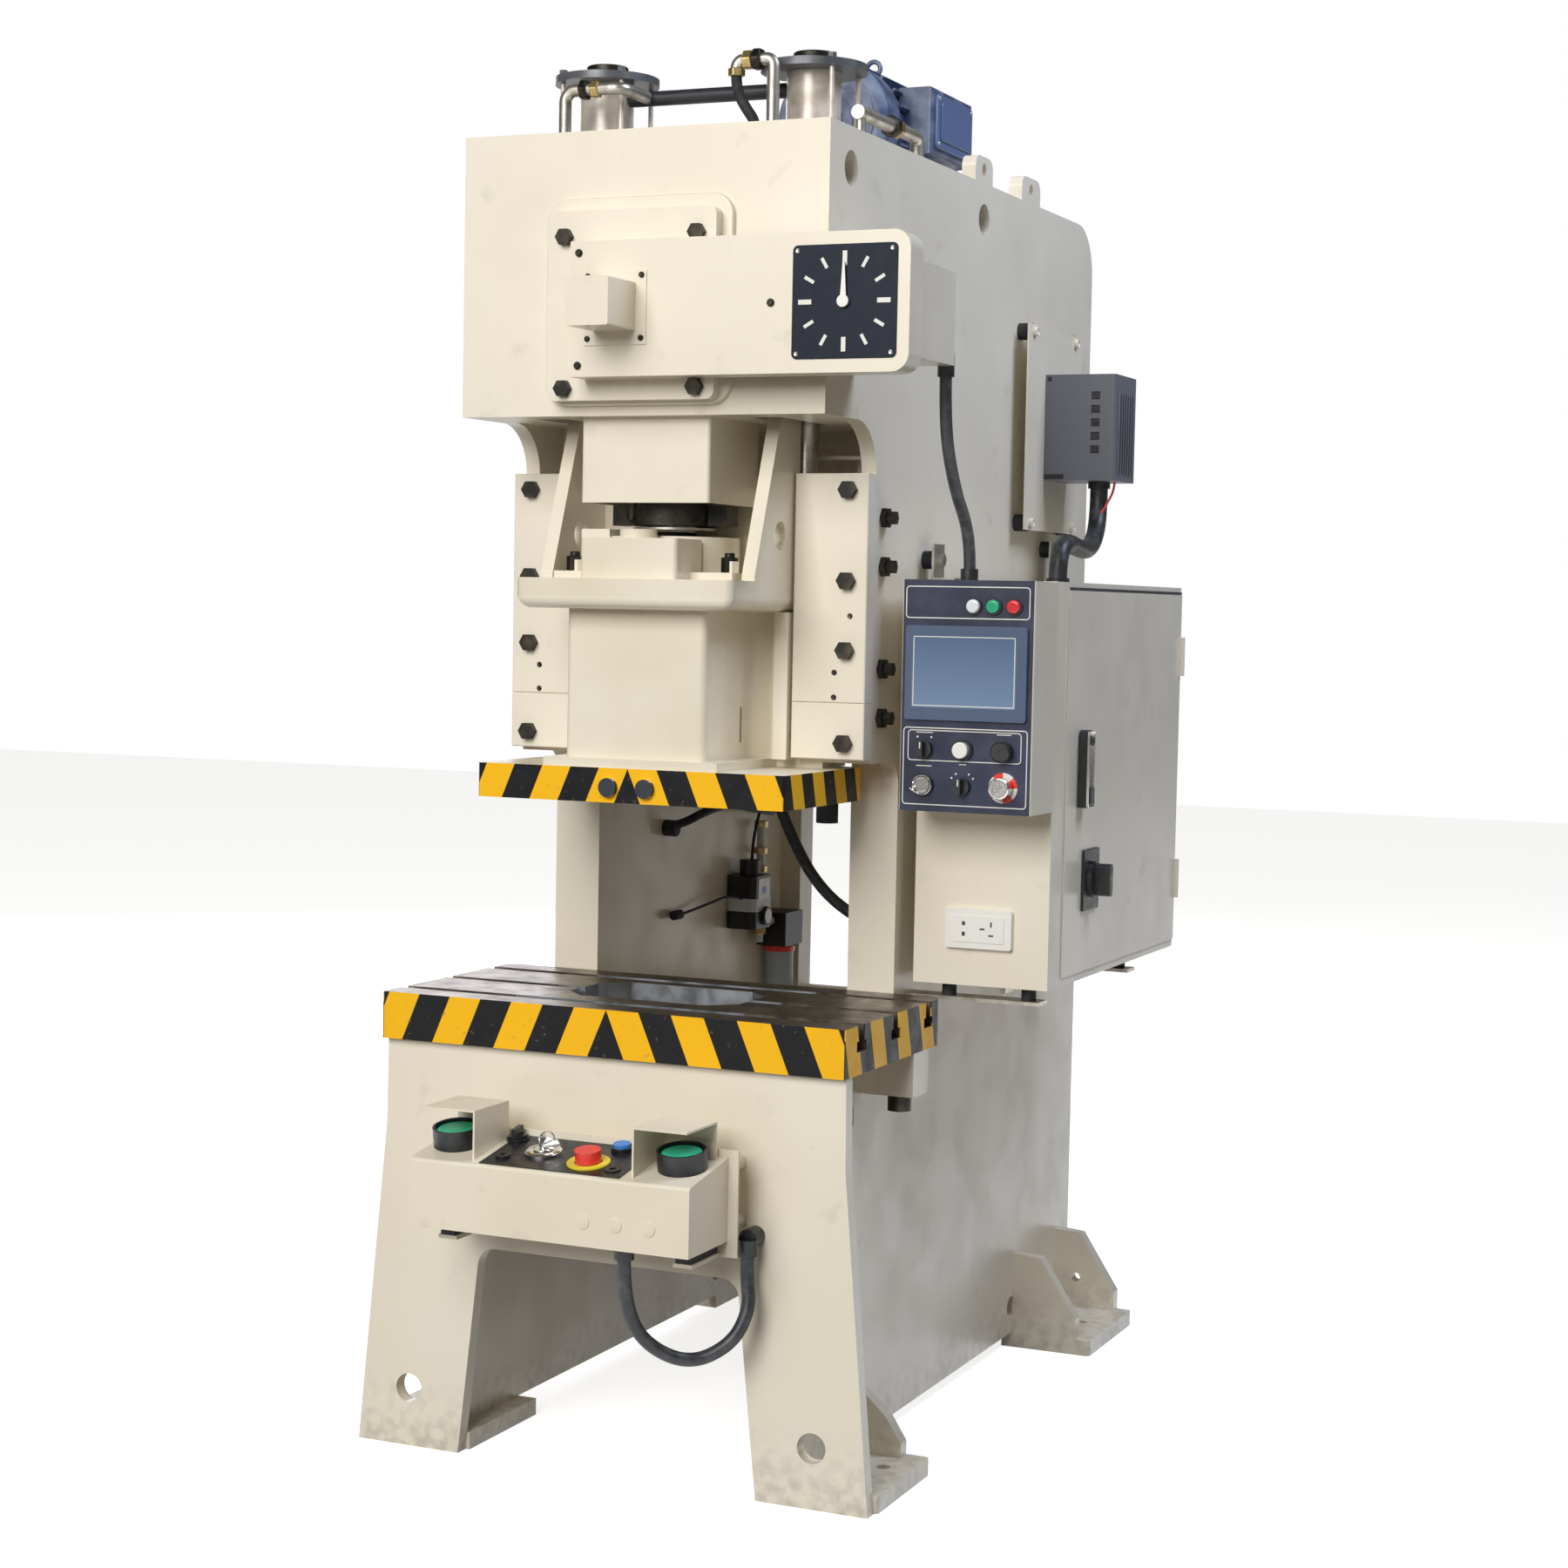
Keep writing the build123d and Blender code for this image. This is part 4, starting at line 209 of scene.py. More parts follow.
def edges_along(obj, axis, width, segments=5):
    """Rounds the edges of a piece that run along one axis."""
    index = "XYZ".index(axis)

    def runs_along(edge):
        run = edge.verts[0].co - edge.verts[1].co
        return abs(run[index]) > 0.9 * run.length

    choose(obj, "EDGE", runs_along)
    bpy.ops.mesh.bevel(offset=width / 1000, segments=segments, affect="EDGES")
    done_editing()
    return obj


def modified(obj, kind, **settings):
    """A piece after one modifier that is applied."""
    take_up(obj)
    change = obj.modifiers.new("change", kind)
    for key, value in settings.items():
        setattr(change, key, value)
    bpy.ops.object.modifier_apply(modifier=change.name)
    return obj


def soften(obj, width, angle=50, segments=2):
    """Rounds the sharp edges of a piece."""
    return modified(obj, "BEVEL", width=width / 1000, segments=segments,
                    limit_method="ANGLE", angle_limit=math.radians(angle))


def bored(obj, holes, axis="Y", reach=60, sides=32, turn=None):
    """Cuts round holes, each given by its centre and radius."""
    for centre, radius in holes:
        cutter = disc(centre, radius, reach, axis, sides, turn)
        modified(obj, "BOOLEAN", operation="DIFFERENCE", solver="EXACT", object=cutter)
        bpy.data.objects.remove(cutter)
    return obj


def joined(pieces):
    """Joins pieces into the first one."""
    take_up(pieces[0])
    for piece in pieces[1:]:
        piece.select_set(True)
    if len(pieces) > 1:
        bpy.ops.object.join()
    return pieces[0]


def copied(obj, change):
    """A copy with its own mesh, changed by a matrix."""
    take_up(obj)
    bpy.ops.object.duplicate()
    copy = bpy.context.object
    copy.data.transform(change)
    return copy


def turned_copy(obj, angle, axis, centre):
    """A copy that is turned about an axis through a point."""
    middle = Matrix.Translation(place(*centre))
    return copied(obj, middle @ Matrix.Rotation(angle, 4, axis) @ middle.inverted())


def spread(piece, spots):
    """A piece and its copies, which stand from it as the other spots stand from the first."""
    pieces = [piece]
    for spot in spots[1:]:
        step = (Vector(spot) - Vector(spots[0])) / 1000
        pieces.append(copied(piece, Matrix.Translation(step)))
    return pieces


def several(make, spots, *sizes):
    """A piece made at the first of several spots, with a copy at each of the others."""
    return spread(make(spots[0], *sizes), spots)


def smoothed(obj, angle=28):
    take_up(obj)
    bpy.ops.object.shade_smooth_by_angle(angle=math.radians(angle))
    return obj


def dress(name, obj, finish, body="frame"):
    """Gives a new piece its name, its finish and the body that it moves with."""
    obj.name = name
    obj.data.name = name
    obj.data.materials.clear()
    obj.data.materials.append(FINISHES[finish])
    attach(obj, body)
    return obj


def group_up(name, pieces, finish, body="frame"):
    """Joins small pieces that share a finish, shades them and hands them over."""
    return dress(name, smoothed(joined(pieces)), finish, body)


# Finishes


def shade(code):
    """An sRGB hex colour as the linear colour that shaders take. Any other colour is linear already."""
    if not isinstance(code, str):
        return list(code)
    values = [int(code[i:i + 2], 16) / 255 for i in (1, 3, 5)]
    return [v / 12.92 if v <= 0.04045 else ((v + 0.055) / 1.055) ** 2.4 for v in values] + [1.0]


def add(tree, kind, settings=None, links=None):
    """Adds a node, sets its properties and sockets, and links its inputs."""
    node = tree.nodes.new(kind)
    for key, value in (settings or {}).items():
        if isinstance(key, str) and hasattr(node, key):
            setattr(node, key, value)
        else:
            node.inputs[key].default_value = value
    for key, source in (links or {}).items():
        tree.links.new(source, node.inputs[key])
    return node


# Each recipe: the kind of node, its settings, the sockets that take values in turn, and its output
RECIPES = {name: ("ShaderNodeMath", {"operation": name}, (0, 1), 0)
           for name in ("ADD", "SUBTRACT", "MULTIPLY", "DIVIDE", "MAXIMUM", "ABSOLUTE", "FRACT",
                        "GREATER_THAN", "LESS_THAN")}
RECIPES.update({name: ("ShaderNodeSeparateXYZ", {}, (0,), name) for name in "XYZ"})
RECIPES.update({
    "BLEND": ("ShaderNodeMix", {"data_type": "RGBA"}, (0, 6, 7), 2),
    "RANGE": ("ShaderNodeMapRange", {}, ("Value", "From Min", "From Max"), 0),
    "SPREAD": ("ShaderNodeMapRange", {}, ("Value", "To Min", "To Max"), 0),
    "NOISE": ("ShaderNodeTexNoise", {}, ("Vector", "Scale", "Detail"), 0),
    "STRETCH": ("ShaderNodeMapping", {}, ("Vector", "Scale"), 0),
    "BUMP": ("ShaderNodeBump", {}, ("Height", "Strength", "Distance"), 0),
    "NORMAL": ("ShaderNodeTexCoord", {}, (), "Normal"),
    "RIDGES": ("ShaderNodeTexWave", {"Scale": 90.0, "Distortion": 1.0, "wave_type": "BANDS",
                                     "bands_direction": "DIAGONAL"}, ("Vector",), 1),
})


class Finish:
    """A material in the making: its node tree, its shader and its object coordinates."""

    def __init__(self, name, colour, **settings):
        self.material = bpy.data.materials.new(name)
        self.tree = empty_tree(self.material)
        self.shader = add(self.tree, "ShaderNodeBsdfPrincipled", {"Base Color": shade(colour)})
        for key, value in settings.items():
            self.shader.inputs[key.replace("_", " ").title().replace("Ior", "IOR")].default_value = value
        add(self.tree, "ShaderNodeOutputMaterial", None, {"Surface": self.shader.outputs[0]})
        self.coords = add(self.tree, "ShaderNodeTexCoord").outputs["Object"]
        self.material.diffuse_color = shade(colour)

    def node(self, recipe, *values):
        """What one node gives, made by the recipe of its name from numbers, colours or other results."""
        kind, settings, sockets, result = RECIPES[recipe]
        fixed, links = dict(settings), {}
        for socket, value in zip(sockets, values):
            if isinstance(value, bpy.types.NodeSocket):
                links[socket] = value
            else:
                fixed[socket] = value if isinstance(value, (int, float, tuple)) else shade(value)
        return add(self.tree, kind, fixed, links).outputs[result]

    def places(self):
        """The object coordinates along X, Y and Z, in metres."""
        return [self.node(axis, self.coords) for axis in "XYZ"]

    def cells(self, size, low, high, detail=3.0, stretch=None):
        """A soft pattern whose patches have a size in millimetres, from 0 below low to 1 above high."""
        coords = self.node("STRETCH", self.coords, stretch) if stretch else self.coords
        return self.node("RANGE", self.node("NOISE", coords, 1000 / size, detail), low, high)

    def mottled(self, base, other, *cells, amount=1.0):
        """A colour with patches of another one on it, at most as strong as an amount."""
        return self.node("BLEND", self.node("MULTIPLY", self.cells(*cells), amount), base, other)

    def metal_where(self, factor):
        """Bare metal where the factor is 1 and paint where it is 0."""
        self.tree.links.new(factor, self.shader.inputs["Metallic"])

    def paint(self, colour):
        """The colour of the surface."""
        self.tree.links.new(colour, self.shader.inputs["Base Color"])

    def gloss(self, factor, smooth, rough):
        """Roughness between two values."""
        self.tree.links.new(self.node("SPREAD", factor, smooth, rough), self.shader.inputs["Roughness"])

    def relief(self, height, depth, strength=0.5):
        """Bumps of a depth in millimetres."""
        self.tree.links.new(self.node("BUMP", height, strength, depth / 1000), self.shader.inputs["Normal"])


def enamel(name, colour, shadow, dirt, floor_dirt=True):
    """Sprayed enamel on welded steel: a soft shine, slightly uneven, dusty near the floor."""
    finish = Finish(name, colour, roughness=0.36, coat_weight=0.25, coat_roughness=0.2)
    node, cells = finish.node, finish.cells
    # Broad patches 400 mm wide keep large plates from looking like one flat colour.
    base = finish.mottled(colour, shadow, 400, 0.35, 0.7, 2.0)
    # Handling marks, about 60 mm wide, only where the broad noise peaks.
    base = finish.mottled(base, dirt, 60, 0.62, 0.78, 6.0, amount=0.2)
    if floor_dirt:
        # Splashes and boot scuffs in the lowest 120 mm.
        low = node("RANGE", node("Z", finish.coords), 0.12, 0.0)
        scuffs = node("MULTIPLY", low, cells(22, 0.42, 0.66, 8.0))
        base = node("BLEND", node("MULTIPLY", scuffs, 0.45), base, dirt)
    finish.paint(base)
    finish.gloss(cells(90, 0.4, 0.7), 0.3, 0.45)
    # The fine orange peel of sprayed paint, drawn at 4 mm so that it shows.
    finish.relief(cells(4, 0.3, 0.7, 2.0), 0.05, 0.25)
    return finish.material


def moulded(name, colour, rough=0.42, sheen=0.5):
    """Moulded ABS: even colour with a fine grain that breaks up the highlight."""
    finish = Finish(name, colour, roughness=rough, specular_ior_level=sheen)
    finish.gloss(finish.cells(12, 0.35, 0.7), rough - 0.08, rough + 0.08)
    finish.relief(finish.cells(0.8, 0.3, 0.7, 2.0), 0.02, 0.2)
    return finish.material


def bare_metal(name, colour, stain, rough, grain=None, amount=0.6):
    """Bare metal with thin stains and, where the grain is stretched, the lines of machining."""
    finish = Finish(name, colour, metallic=1.0, roughness=rough)
    finish.paint(finish.mottled(colour, stain, 25, 0.45, 0.7, 6.0, amount=amount))
    finish.gloss(finish.cells(2, 0.3, 0.7, 3.0, grain), rough - 0.08, rough + 0.12)
    return finish.material


def patchy(name, base, other, patches, amount=1.0, bumps=None, **settings):
    """A skin of one colour with soft patches of another, and low bumps if it has any."""
    finish = Finish(name, base, **settings)
    finish.paint(finish.mottled(base, other, *patches, amount=amount))
    if bumps:
        size, detail, depth, strength = bumps
        finish.relief(finish.cells(size, 0.3, 0.7, detail), depth, strength)
    return finish.material


def sheath(name, colour):
    """Smooth plastic sheath: dark, with a long soft highlight and a little dust."""
    return patchy(name, colour, "#6B6E72", (18, 0.45, 0.72, 5.0), 0.4, roughness=0.42)


# How far a stripe moves sideways for each millimetre of height, on the front and on the sides
FRONT_LEAN = 0.42
SIDE_LEAN = 0.3


def stripes(finish, across, height, top, period, lean):
    """Stripes along one direction that lean with the height below a top edge."""
    drop = finish.node("SUBTRACT", top, height)
    along = finish.node("SUBTRACT", across, finish.node("MULTIPLY", drop, lean))
    turn = finish.node("FRACT", finish.node("DIVIDE", along, period))
    return finish.node("GREATER_THAN", turn, 0.5)


def striped(name, colours, top, periods, shift, front, side, ground=False):
    """Hazard stripes in brushed enamel on the front and sides of a plate, mirrored about its middle.

    The places are in metres: the top edge, the stripes' periods on the front and on the sides, the
    shift of the side's stripes, the front face and the side face.
    """
    yellow, black = colours
    finish = Finish(name + " hazard stripe enamel", yellow, roughness=0.4, specular_ior_level=0.2)
    node, cells = finish.node, finish.cells
    x, y, z = finish.places()
    out = node("ABSOLUTE", x)
    on_front = stripes(finish, out, z, top, periods[0], FRONT_LEAN)
    on_side = stripes(finish, node("SUBTRACT", y, shift), z, top, periods[1], SIDE_LEAN)
    is_side = node("GREATER_THAN", out, side)
    dark = node("ADD", node("MULTIPLY", is_side, on_side),
                node("MULTIPLY", node("SUBTRACT", 1.0, is_side), on_front))
    # Paint worn thin in small flakes.
    colour = finish.mottled(node("BLEND", dark, yellow, black), "#8C7A55", 9, 0.66, 0.74, 7.0, amount=0.5)
    flat_top = node("GREATER_THAN", node("ABSOLUTE", node("Z", node("NORMAL"))), 0.7)
    flat = flat_top
    if ground:
        within = node("MULTIPLY", node("LESS_THAN", out, side), node("GREATER_THAN", y, front))
        flat = node("MAXIMUM", flat, within)
        # Ground steel gone brown with oil, with paler wiped patches 70 mm wide, and the die hole
        # with its wiped, pale walls.
        steel = finish.mottled("#6A5F55", "#958A7E", 70, 0.35, 0.7, 5.0)
        walls = node("MULTIPLY", node("LESS_THAN", out, DIE_HOLE_REACH), node("LESS_THAN", flat_top, 0.5))
        steel = node("BLEND", walls, steel, "#B4B8BF")
        finish.metal_where(flat)
    else:
        # Bolt heads that stand in front of the plate are blackened, not striped.
        colour = node("BLEND", node("LESS_THAN", y, front - 0.0005), colour, "#3A3F48")
        steel = finish.mottled("#E4DCC8", "#D5CBB4", 120, 0.35, 0.7)
    finish.paint(node("BLEND", flat, colour, steel))
    finish.gloss(cells(30, 0.3, 0.7, 4.0), 0.28, 0.5)
    finish.relief(cells(3, 0.3, 0.7, 3.0), 0.04, 0.3)
    return finish.material


def balancer_skin():
    """Balancers: dark painted flanges over bare honed barrels."""
    finish = Finish("honed cylinder tube", "#D2C9BF", metallic=0.2, roughness=0.34)
    node, height = finish.node, finish.node("Z", finish.coords)
    low, high = BALANCER_BARREL
    flange = node("MAXIMUM", node("GREATER_THAN", height, high), node("LESS_THAN", height, low))
    barrel = finish.mottled("#DCD3C8", "#A2968A", 35, 0.45, 0.7, 6.0, amount=0.7)
    finish.paint(node("BLEND", flange, barrel, finish.mottled("#4F535B", "#6D6F72", 30, 0.4, 0.7, 5.0)))
    return finish.material


def pipe_skin():
    """Air pipes: cloudy grey galvanising, but black enamel on the pipe that joins the balancers."""
    finish = Finish("galvanised pipe", "#B5B0A6", metallic=1.0, roughness=0.4)
    node = finish.node
    zinc = finish.mottled("#C2BEB5", "#857C6E", 25, 0.45, 0.7, 6.0, amount=0.8)
    joining = 1.0
    for place_along, middle, reach in zip(finish.places(), JOINING_PIPE, JOINING_PIPE_REACH):
        away = node("ABSOLUTE", node("SUBTRACT", place_along, middle))
        joining = node("MULTIPLY", joining, node("LESS_THAN", away, reach))
    finish.paint(node("BLEND", joining, zinc, "#26282E"))
    finish.metal_where(node("SUBTRACT", 1.0, joining))
    finish.gloss(finish.cells(25, 0.4, 0.7), 0.34, 0.5)
    return finish.material


def bracket_skin():
    """Brackets: bright zinc on the cabinet's arms, cream enamel on the drive's and the station's."""
    finish = Finish("zinc plated and enamelled brackets", "#C9C6BC", metallic=1.0, roughness=0.38)
    node, height = finish.node, finish.node("Z", finish.coords)
    low, high = ZINC_BRACKETS
    painted = node("MAXIMUM", node("GREATER_THAN", height, high), node("LESS_THAN", height, low))
    zinc = finish.mottled("#C9C6BC", "#9D9686", 25, 0.45, 0.7, 6.0)
    finish.paint(node("BLEND", painted, zinc, finish.mottled("#EFE7D6", "#E4DBC7", 200, 0.35, 0.7)))
    finish.metal_where(node("SUBTRACT", 1.0, painted))
    return finish.material


def screen_glass():
    """Touch glass: dark blue-grey, very smooth, with a broad soft reflection."""
    finish = Finish("touch screen glass", "#5C7598", roughness=0.12, IOR=1.5)
    node = finish.node
    x, _, z = finish.places()
    inside = 1.0
    for across, (low, high) in ((x, PICTURE_X), (z, PICTURE_Z)):
        for test, limit in (("GREATER_THAN", low), ("LESS_THAN", high)):
            inside = node("MULTIPLY", inside, node(test, across, limit))
    glow = node("BLEND", node("RANGE", z, *GLOW_Z), "#7E97B6", "#5D7093")
    finish.paint(node("BLEND", inside, "#5D6C86", glow))
    return finish.material


def panel_skin():
    """Pendant head: cream sheet with a dark slate membrane on its front."""
    finish = Finish("slate membrane on folded sheet", "#2F3347", roughness=0.38, specular_ior_level=0.35)
    front = finish.node("LESS_THAN", finish.node("Y", finish.coords), MEMBRANE_BACK)
    slate = finish.mottled("#2C3044", "#393E55", 80, 0.4, 0.7)
    finish.paint(finish.node("BLEND", front, finish.mottled("#EAE2D0", "#E1D8C4", 300, 0.35, 0.7), slate))
    finish.gloss(finish.cells(40, 0.4, 0.7), 0.3, 0.42)
    return finish.material


def lamp_lens():
    """Three tinted lenses: white, green and red, told apart by their place along the row."""
    finish = Finish("tinted lamp lens", "#F0F0F0", roughness=0.16, IOR=1.49)
    x = finish.node("X", finish.coords)
    colour = "#E9ECF2"
    for before, after, next_colour in zip(LAMPS, LAMPS[1:], ("#2FAE84", "#DD3A3E")):
        past = finish.node("GREATER_THAN", x, (before + after) / 2000)
        colour = finish.node("BLEND", past, colour, next_colour)
    finish.paint(colour)
    return finish.material


def air_unit_skin():
    """Air unit: pale die-cast bodies, black regulator and filter head, and a smoky bowl."""
    finish = Finish("air unit die casting", "#C9CCD2", roughness=0.4)
    node = finish.node
    _, y, z = finish.places()
    front, rear = node("LESS_THAN", y, AIR_UNIT_GAP[0]), node("GREATER_THAN", y, AIR_UNIT_GAP[1])
    bowl = node("MULTIPLY", rear, node("LESS_THAN", z, BOWL_TOP))
    black = node("MULTIPLY", rear, node("GREATER_THAN", z, BOWL_TOP))
    for test, limit in zip(("LESS_THAN", "GREATER_THAN"), REGULATOR_BODY):
        black = node("MAXIMUM", black, node("MULTIPLY", front, node(test, z, limit)))
    finish.paint(node("BLEND", black, node("BLEND", bowl, "#CDD0D6", "#A7ADB6"), "#1E2024"))
    return finish.material


def ribbed_hose():
    """Spiral-ribbed hose: black rubber with fine ridges that catch the light, their crests painted a paler
    grey as a painted highlight.
    """
    finish = Finish("ribbed hose rubber", "#26282C", roughness=0.5)
    ridges = finish.node("RIDGES", finish.coords)
    # Painted highlight: the ridges' crests are painted paler, over the real bumps of the relief.
    finish.paint(finish.node("BLEND", finish.node("MULTIPLY", ridges, 0.6), "#1E2023", "#55585C"))
    finish.relief(ridges, 0.8, 0.8)
    return finish.material


MOULDED = {
    "drive_housing": ("drive unit ABS", "#63666F", 0.5),
    "pointer_paint": ("white pointer enamel", "#F2F1EC", 0.35),
    "black_plastic": ("black ABS", "#1D1E22", 0.38),
    "white_plastic": ("white ABS", "#F3F2EE", 0.35),
    "red_plastic": ("red ABS", "#E83B35", 0.32),
    "green_plastic": ("green ABS", "#35BC93", 0.4),
    "blue_plastic": ("blue ABS", "#3E86D8", 0.35),
    "yellow_plastic": ("yellow ABS", "#E8D633", 0.4),
    "white_ink": ("white screen print", "#E9E9E4", 0.5),
    "dial_enamel": ("black dial enamel", "#1E2431", 0.42, 0.15),
    "motor_lid": ("motor box enamel", "#56688F", 0.36),
}

# Each metal: its name, colour, stain, roughness and, where turned or ground, the stretch of its grain
MACHINED = (1, 1, 12)
BARE = {
    # Blackened bolts: nearly black, with a dull oily shine.
    "black_oxide": ("black oxide steel", "#33322F", "#5C5346", 0.42),
    # Turned and ground steel: bright, with fine rings and a trace of oil.
    "bright_steel": ("ground steel", "#B9B7B2", "#857A68", 0.26, MACHINED),
    "cast_iron": ("machined cast iron", "#77787A", "#51483F", 0.45),
    "bronze": ("bearing bronze", "#B08A4A", "#6E5228", 0.35, MACHINED),
    # Zinc-plated bracketry: a cold pale grey with a faint bloom.
    "zinc_plate": ("zinc plated steel", "#C9C6BC", "#9D9686", 0.38),
    "chrome_switch": ("chrome plate", "#DAD9D6", "#A9A7A2", 0.14, None, 0.3),
    # Brass unions: a warm yellow metal, dulled by handling.
    "brass": ("cast brass", "#C8B27C", "#7B6436", 0.34),
}


def make_finishes(paint):
    """Every finish of the press, by the slot or the piece that wears it."""
    hazard = (paint.stripe, paint.ground)
    return {
        # Warm cream enamel of the frame: the pale, slightly glossy skin of the whole machine.
        "cream_enamel": enamel("cream enamel on steel", paint.enamel, "#EAE1CE", "#8F8574"),
        # The ram is smoother and glossier than the frame, over wavy filler with patches 30 mm wide.
        "ram_enamel": patchy(
            "cream enamel on cast iron", "#F1E9D8", "#E8DFC9", (160, 0.35, 0.7),
            bumps=(30, 2.0, 0.15, 0.25), roughness=0.26, coat_weight=0.5, coat_roughness=0.08),
        "station_enamel": enamel("cream enamel on folded sheet", "#EFE6D3", "#E6DCC6", "#9A8F7A", False),
        "table_steel": striped("table", hazard, top=0.735, periods=(0.111, 0.102), shift=0.031,
                               front=-0.677, side=0.3985, ground=True),
        "stripe_paint": striped("slide", hazard, top=1.104, periods=(0.100, 0.085), shift=0.0,
                                front=-0.618, side=0.2645),
        "galvanised_pipe": pipe_skin(),
        "brackets": bracket_skin(),
        "balancer_steel": balancer_skin(),
        # Motor: blue-grey machine paint on ribbed cast iron, with paler patches all over that are painted
        # highlights.
        "motor_paint": patchy("motor paint on cast iron", "#3A4666", "#75819A", (45, 0.42, 0.72, 5.0),
                              bumps=(3, 3.0, 0.08, 0.4), roughness=0.36),
        # Rubber: deep, dull black-grey that scatters light.
        "rubber": patchy("vulcanised rubber", "#1C1D20", "#3A3A3C", (15, 0.45, 0.75, 5.0), roughness=0.75),
        "screen_plastic": screen_glass(),
        "slate_paint": panel_skin(),
        "lamp_plastic": lamp_lens(),
        "air_unit_plastic": air_unit_skin(),
        "grey_conduit": sheath("conduit PVC", "#2B2E33"),
        "black_cable": sheath("cable bundle sleeve", "#222428"),
        "ribbed_hose": ribbed_hose(),
        **{slot: moulded(*values) for slot, values in MOULDED.items()},
        **{slot: bare_metal(*values) for slot, values in BARE.items()},
    }


FINISHES = {}


# Settings that a user would change


def colour_setting(name, description, code):
    """A colour that a user can change."""
    return FloatVectorProperty(name=name, description=description, subtype="COLOR", size=4,
                               default=tuple(shade(code)), min=0.0, max=1.0)


def power_setting(name, description, watts):
    """The power of a light that a user can change."""
    return FloatProperty(name=name, description=description, default=watts, min=0.0, unit="POWER")


class PressPaintSettings(bpy.types.PropertyGroup):
    """The colours of the press."""

    enamel: colour_setting("Enamel", "Colour of the frame", "#F0E8D8")
    stripe: colour_setting("Stripes", "Colour of the hazard stripes", "#FFC21E")
    ground: colour_setting("Between stripes", "Colour between the hazard stripes", "#101115")


class PressStageSettings(bpy.types.PropertyGroup):
    """The stage that the press is shown on."""

    key_power: power_setting("Key power", "Power of the large soft light at the front left", 530.0)
    fill_power: power_setting("Fill power", "Power of the weak light at the rear right", 74.0)
    rear_power: power_setting("Rear power", "Power of the weak light at the rear left", 110.0)
    room: FloatProperty(
        name="Room light", description="How bright the surrounding white room is for the press",
        default=0.15, min=0.0, max=2.0)
    floor_size: FloatProperty(
        name="Floor size", description="Width of the pale floor", default=30.0, min=1.0, unit="LENGTH")


class PressDialSettings(bpy.types.PropertyGroup):
    """The crank-angle dial on the long arm."""

    size: FloatProperty(
        name="Dial plate", description="Side of the square black plate in millimetres",
        default=166.0, min=60.0)
    marks: IntProperty(
        name="Marks", description="How many marks the dial has", default=12, min=4)


class PressPanelSettings(bpy.types.PropertyGroup):
    """The pendant head's printed lines."""

    line_width: FloatProperty(
        name="Line width", description="Width of the pale lines in millimetres", default=1.6, min=0.3)


# The stage

# The camera that took the photograph, solved from the press's straight edges, in metres and degrees
CAMERA_PLACE = (1.9669, -4.4724, 1.3574)
CAMERA_YAW, CAMERA_PITCH, CAMERA_ROLL = 23.814, 3.604, 1.113
CAMERA_LENS = 64.07
# Each light: its place, its width in metres and its tint
LIGHTS = {
    "key": ((-0.4, -7.2, 4.6), 4.5, "#FFFEFC"),
    "fill": ((2.2, 0.3, 3.9), 1.4, "#DCE8FF"),
    "rear": ((-4.0, 4.6, 3.6), 3.0, "#F4F6FF"),
}
LIGHT_AIM = (0, 0, 1.1)


def solved_camera():
    """The camera at its place, aimed by its yaw and pitch and then rolled."""
    data = bpy.data.cameras.new("camera")
    data.lens = CAMERA_LENS
    data.sensor_width = 36.0
    data.clip_end = 100.0
    camera = bpy.data.objects.new("camera", data)
    bpy.context.scene.collection.objects.link(camera)
    yaw, pitch, roll = (math.radians(angle) for angle in (CAMERA_YAW, CAMERA_PITCH, CAMERA_ROLL))
    ahead = Vector((-math.sin(yaw) * math.cos(pitch), math.cos(yaw) * math.cos(pitch), -math.sin(pitch)))
    level = ahead.cross(Vector((0, 0, 1))).normalized()
    over = level.cross(ahead).normalized()
    right = level * math.cos(roll) + over * math.sin(roll)
    turn = Matrix((right, right.cross(ahead), -ahead)).transposed()
    camera.matrix_world = Matrix.Translation(CAMERA_PLACE) @ turn.to_4x4()
    return camera


def soft_light(name, power):
    """A square soft box that looks at the middle of the press."""
    location, size, tint = LIGHTS[name]
    data = bpy.data.lights.new(name + " light", "AREA")
    data.shape = "SQUARE"
    data.size = size
    data.energy = power
    data.color = shade(tint)[:3]
    light = bpy.data.objects.new(name + " light", data)
    bpy.context.scene.collection.objects.link(light)
    light.location = location
    light.rotation_euler = (Vector(LIGHT_AIM) - light.location).to_track_quat("-Z", "Y").to_euler()


def empty_tree(owner):
    """The node tree of a material or a world, without nodes."""
    owner.use_nodes = True
    owner.node_tree.nodes.clear()
    return owner.node_tree


def seen_rays(tree, other):
    """1 for rays from the camera and for one other kind of ray, 0 for the rest."""
    ray = add(tree, "ShaderNodeLightPath")
    return add(tree, "ShaderNodeMath", {"operation": "MAXIMUM"},
               {0: ray.outputs["Is Camera Ray"], 1: ray.outputs[other]}).outputs[0]


def floor_paint():
    """Pale studio floor that reads as white to the camera and keeps the soft shadow."""
    material = bpy.data.materials.new("pale studio floor")
    tree = empty_tree(material)
    pale = add(tree, "ShaderNodeBsdfDiffuse", {"Color": shade("#F1F1EF")})
    glow = add(tree, "ShaderNodeEmission", {"Color": shade("#FFFFFF"), "Strength": 0.78})
    both = add(tree, "ShaderNodeAddShader", None, {0: pale.outputs[0], 1: glow.outputs[0]})
    # Light that comes off the floor is that of the grey workshop floor.
    grey = add(tree, "ShaderNodeBsdfDiffuse", {"Color": shade("#77726A")})
    choice = add(tree, "ShaderNodeMixShader", None,
                 {0: seen_rays(tree, "Is Glossy Ray"), 1: grey.outputs[0], 2: both.outputs[0]})
    add(tree, "ShaderNodeOutputMaterial", None, {"Surface": choice.outputs[0]})
    return material


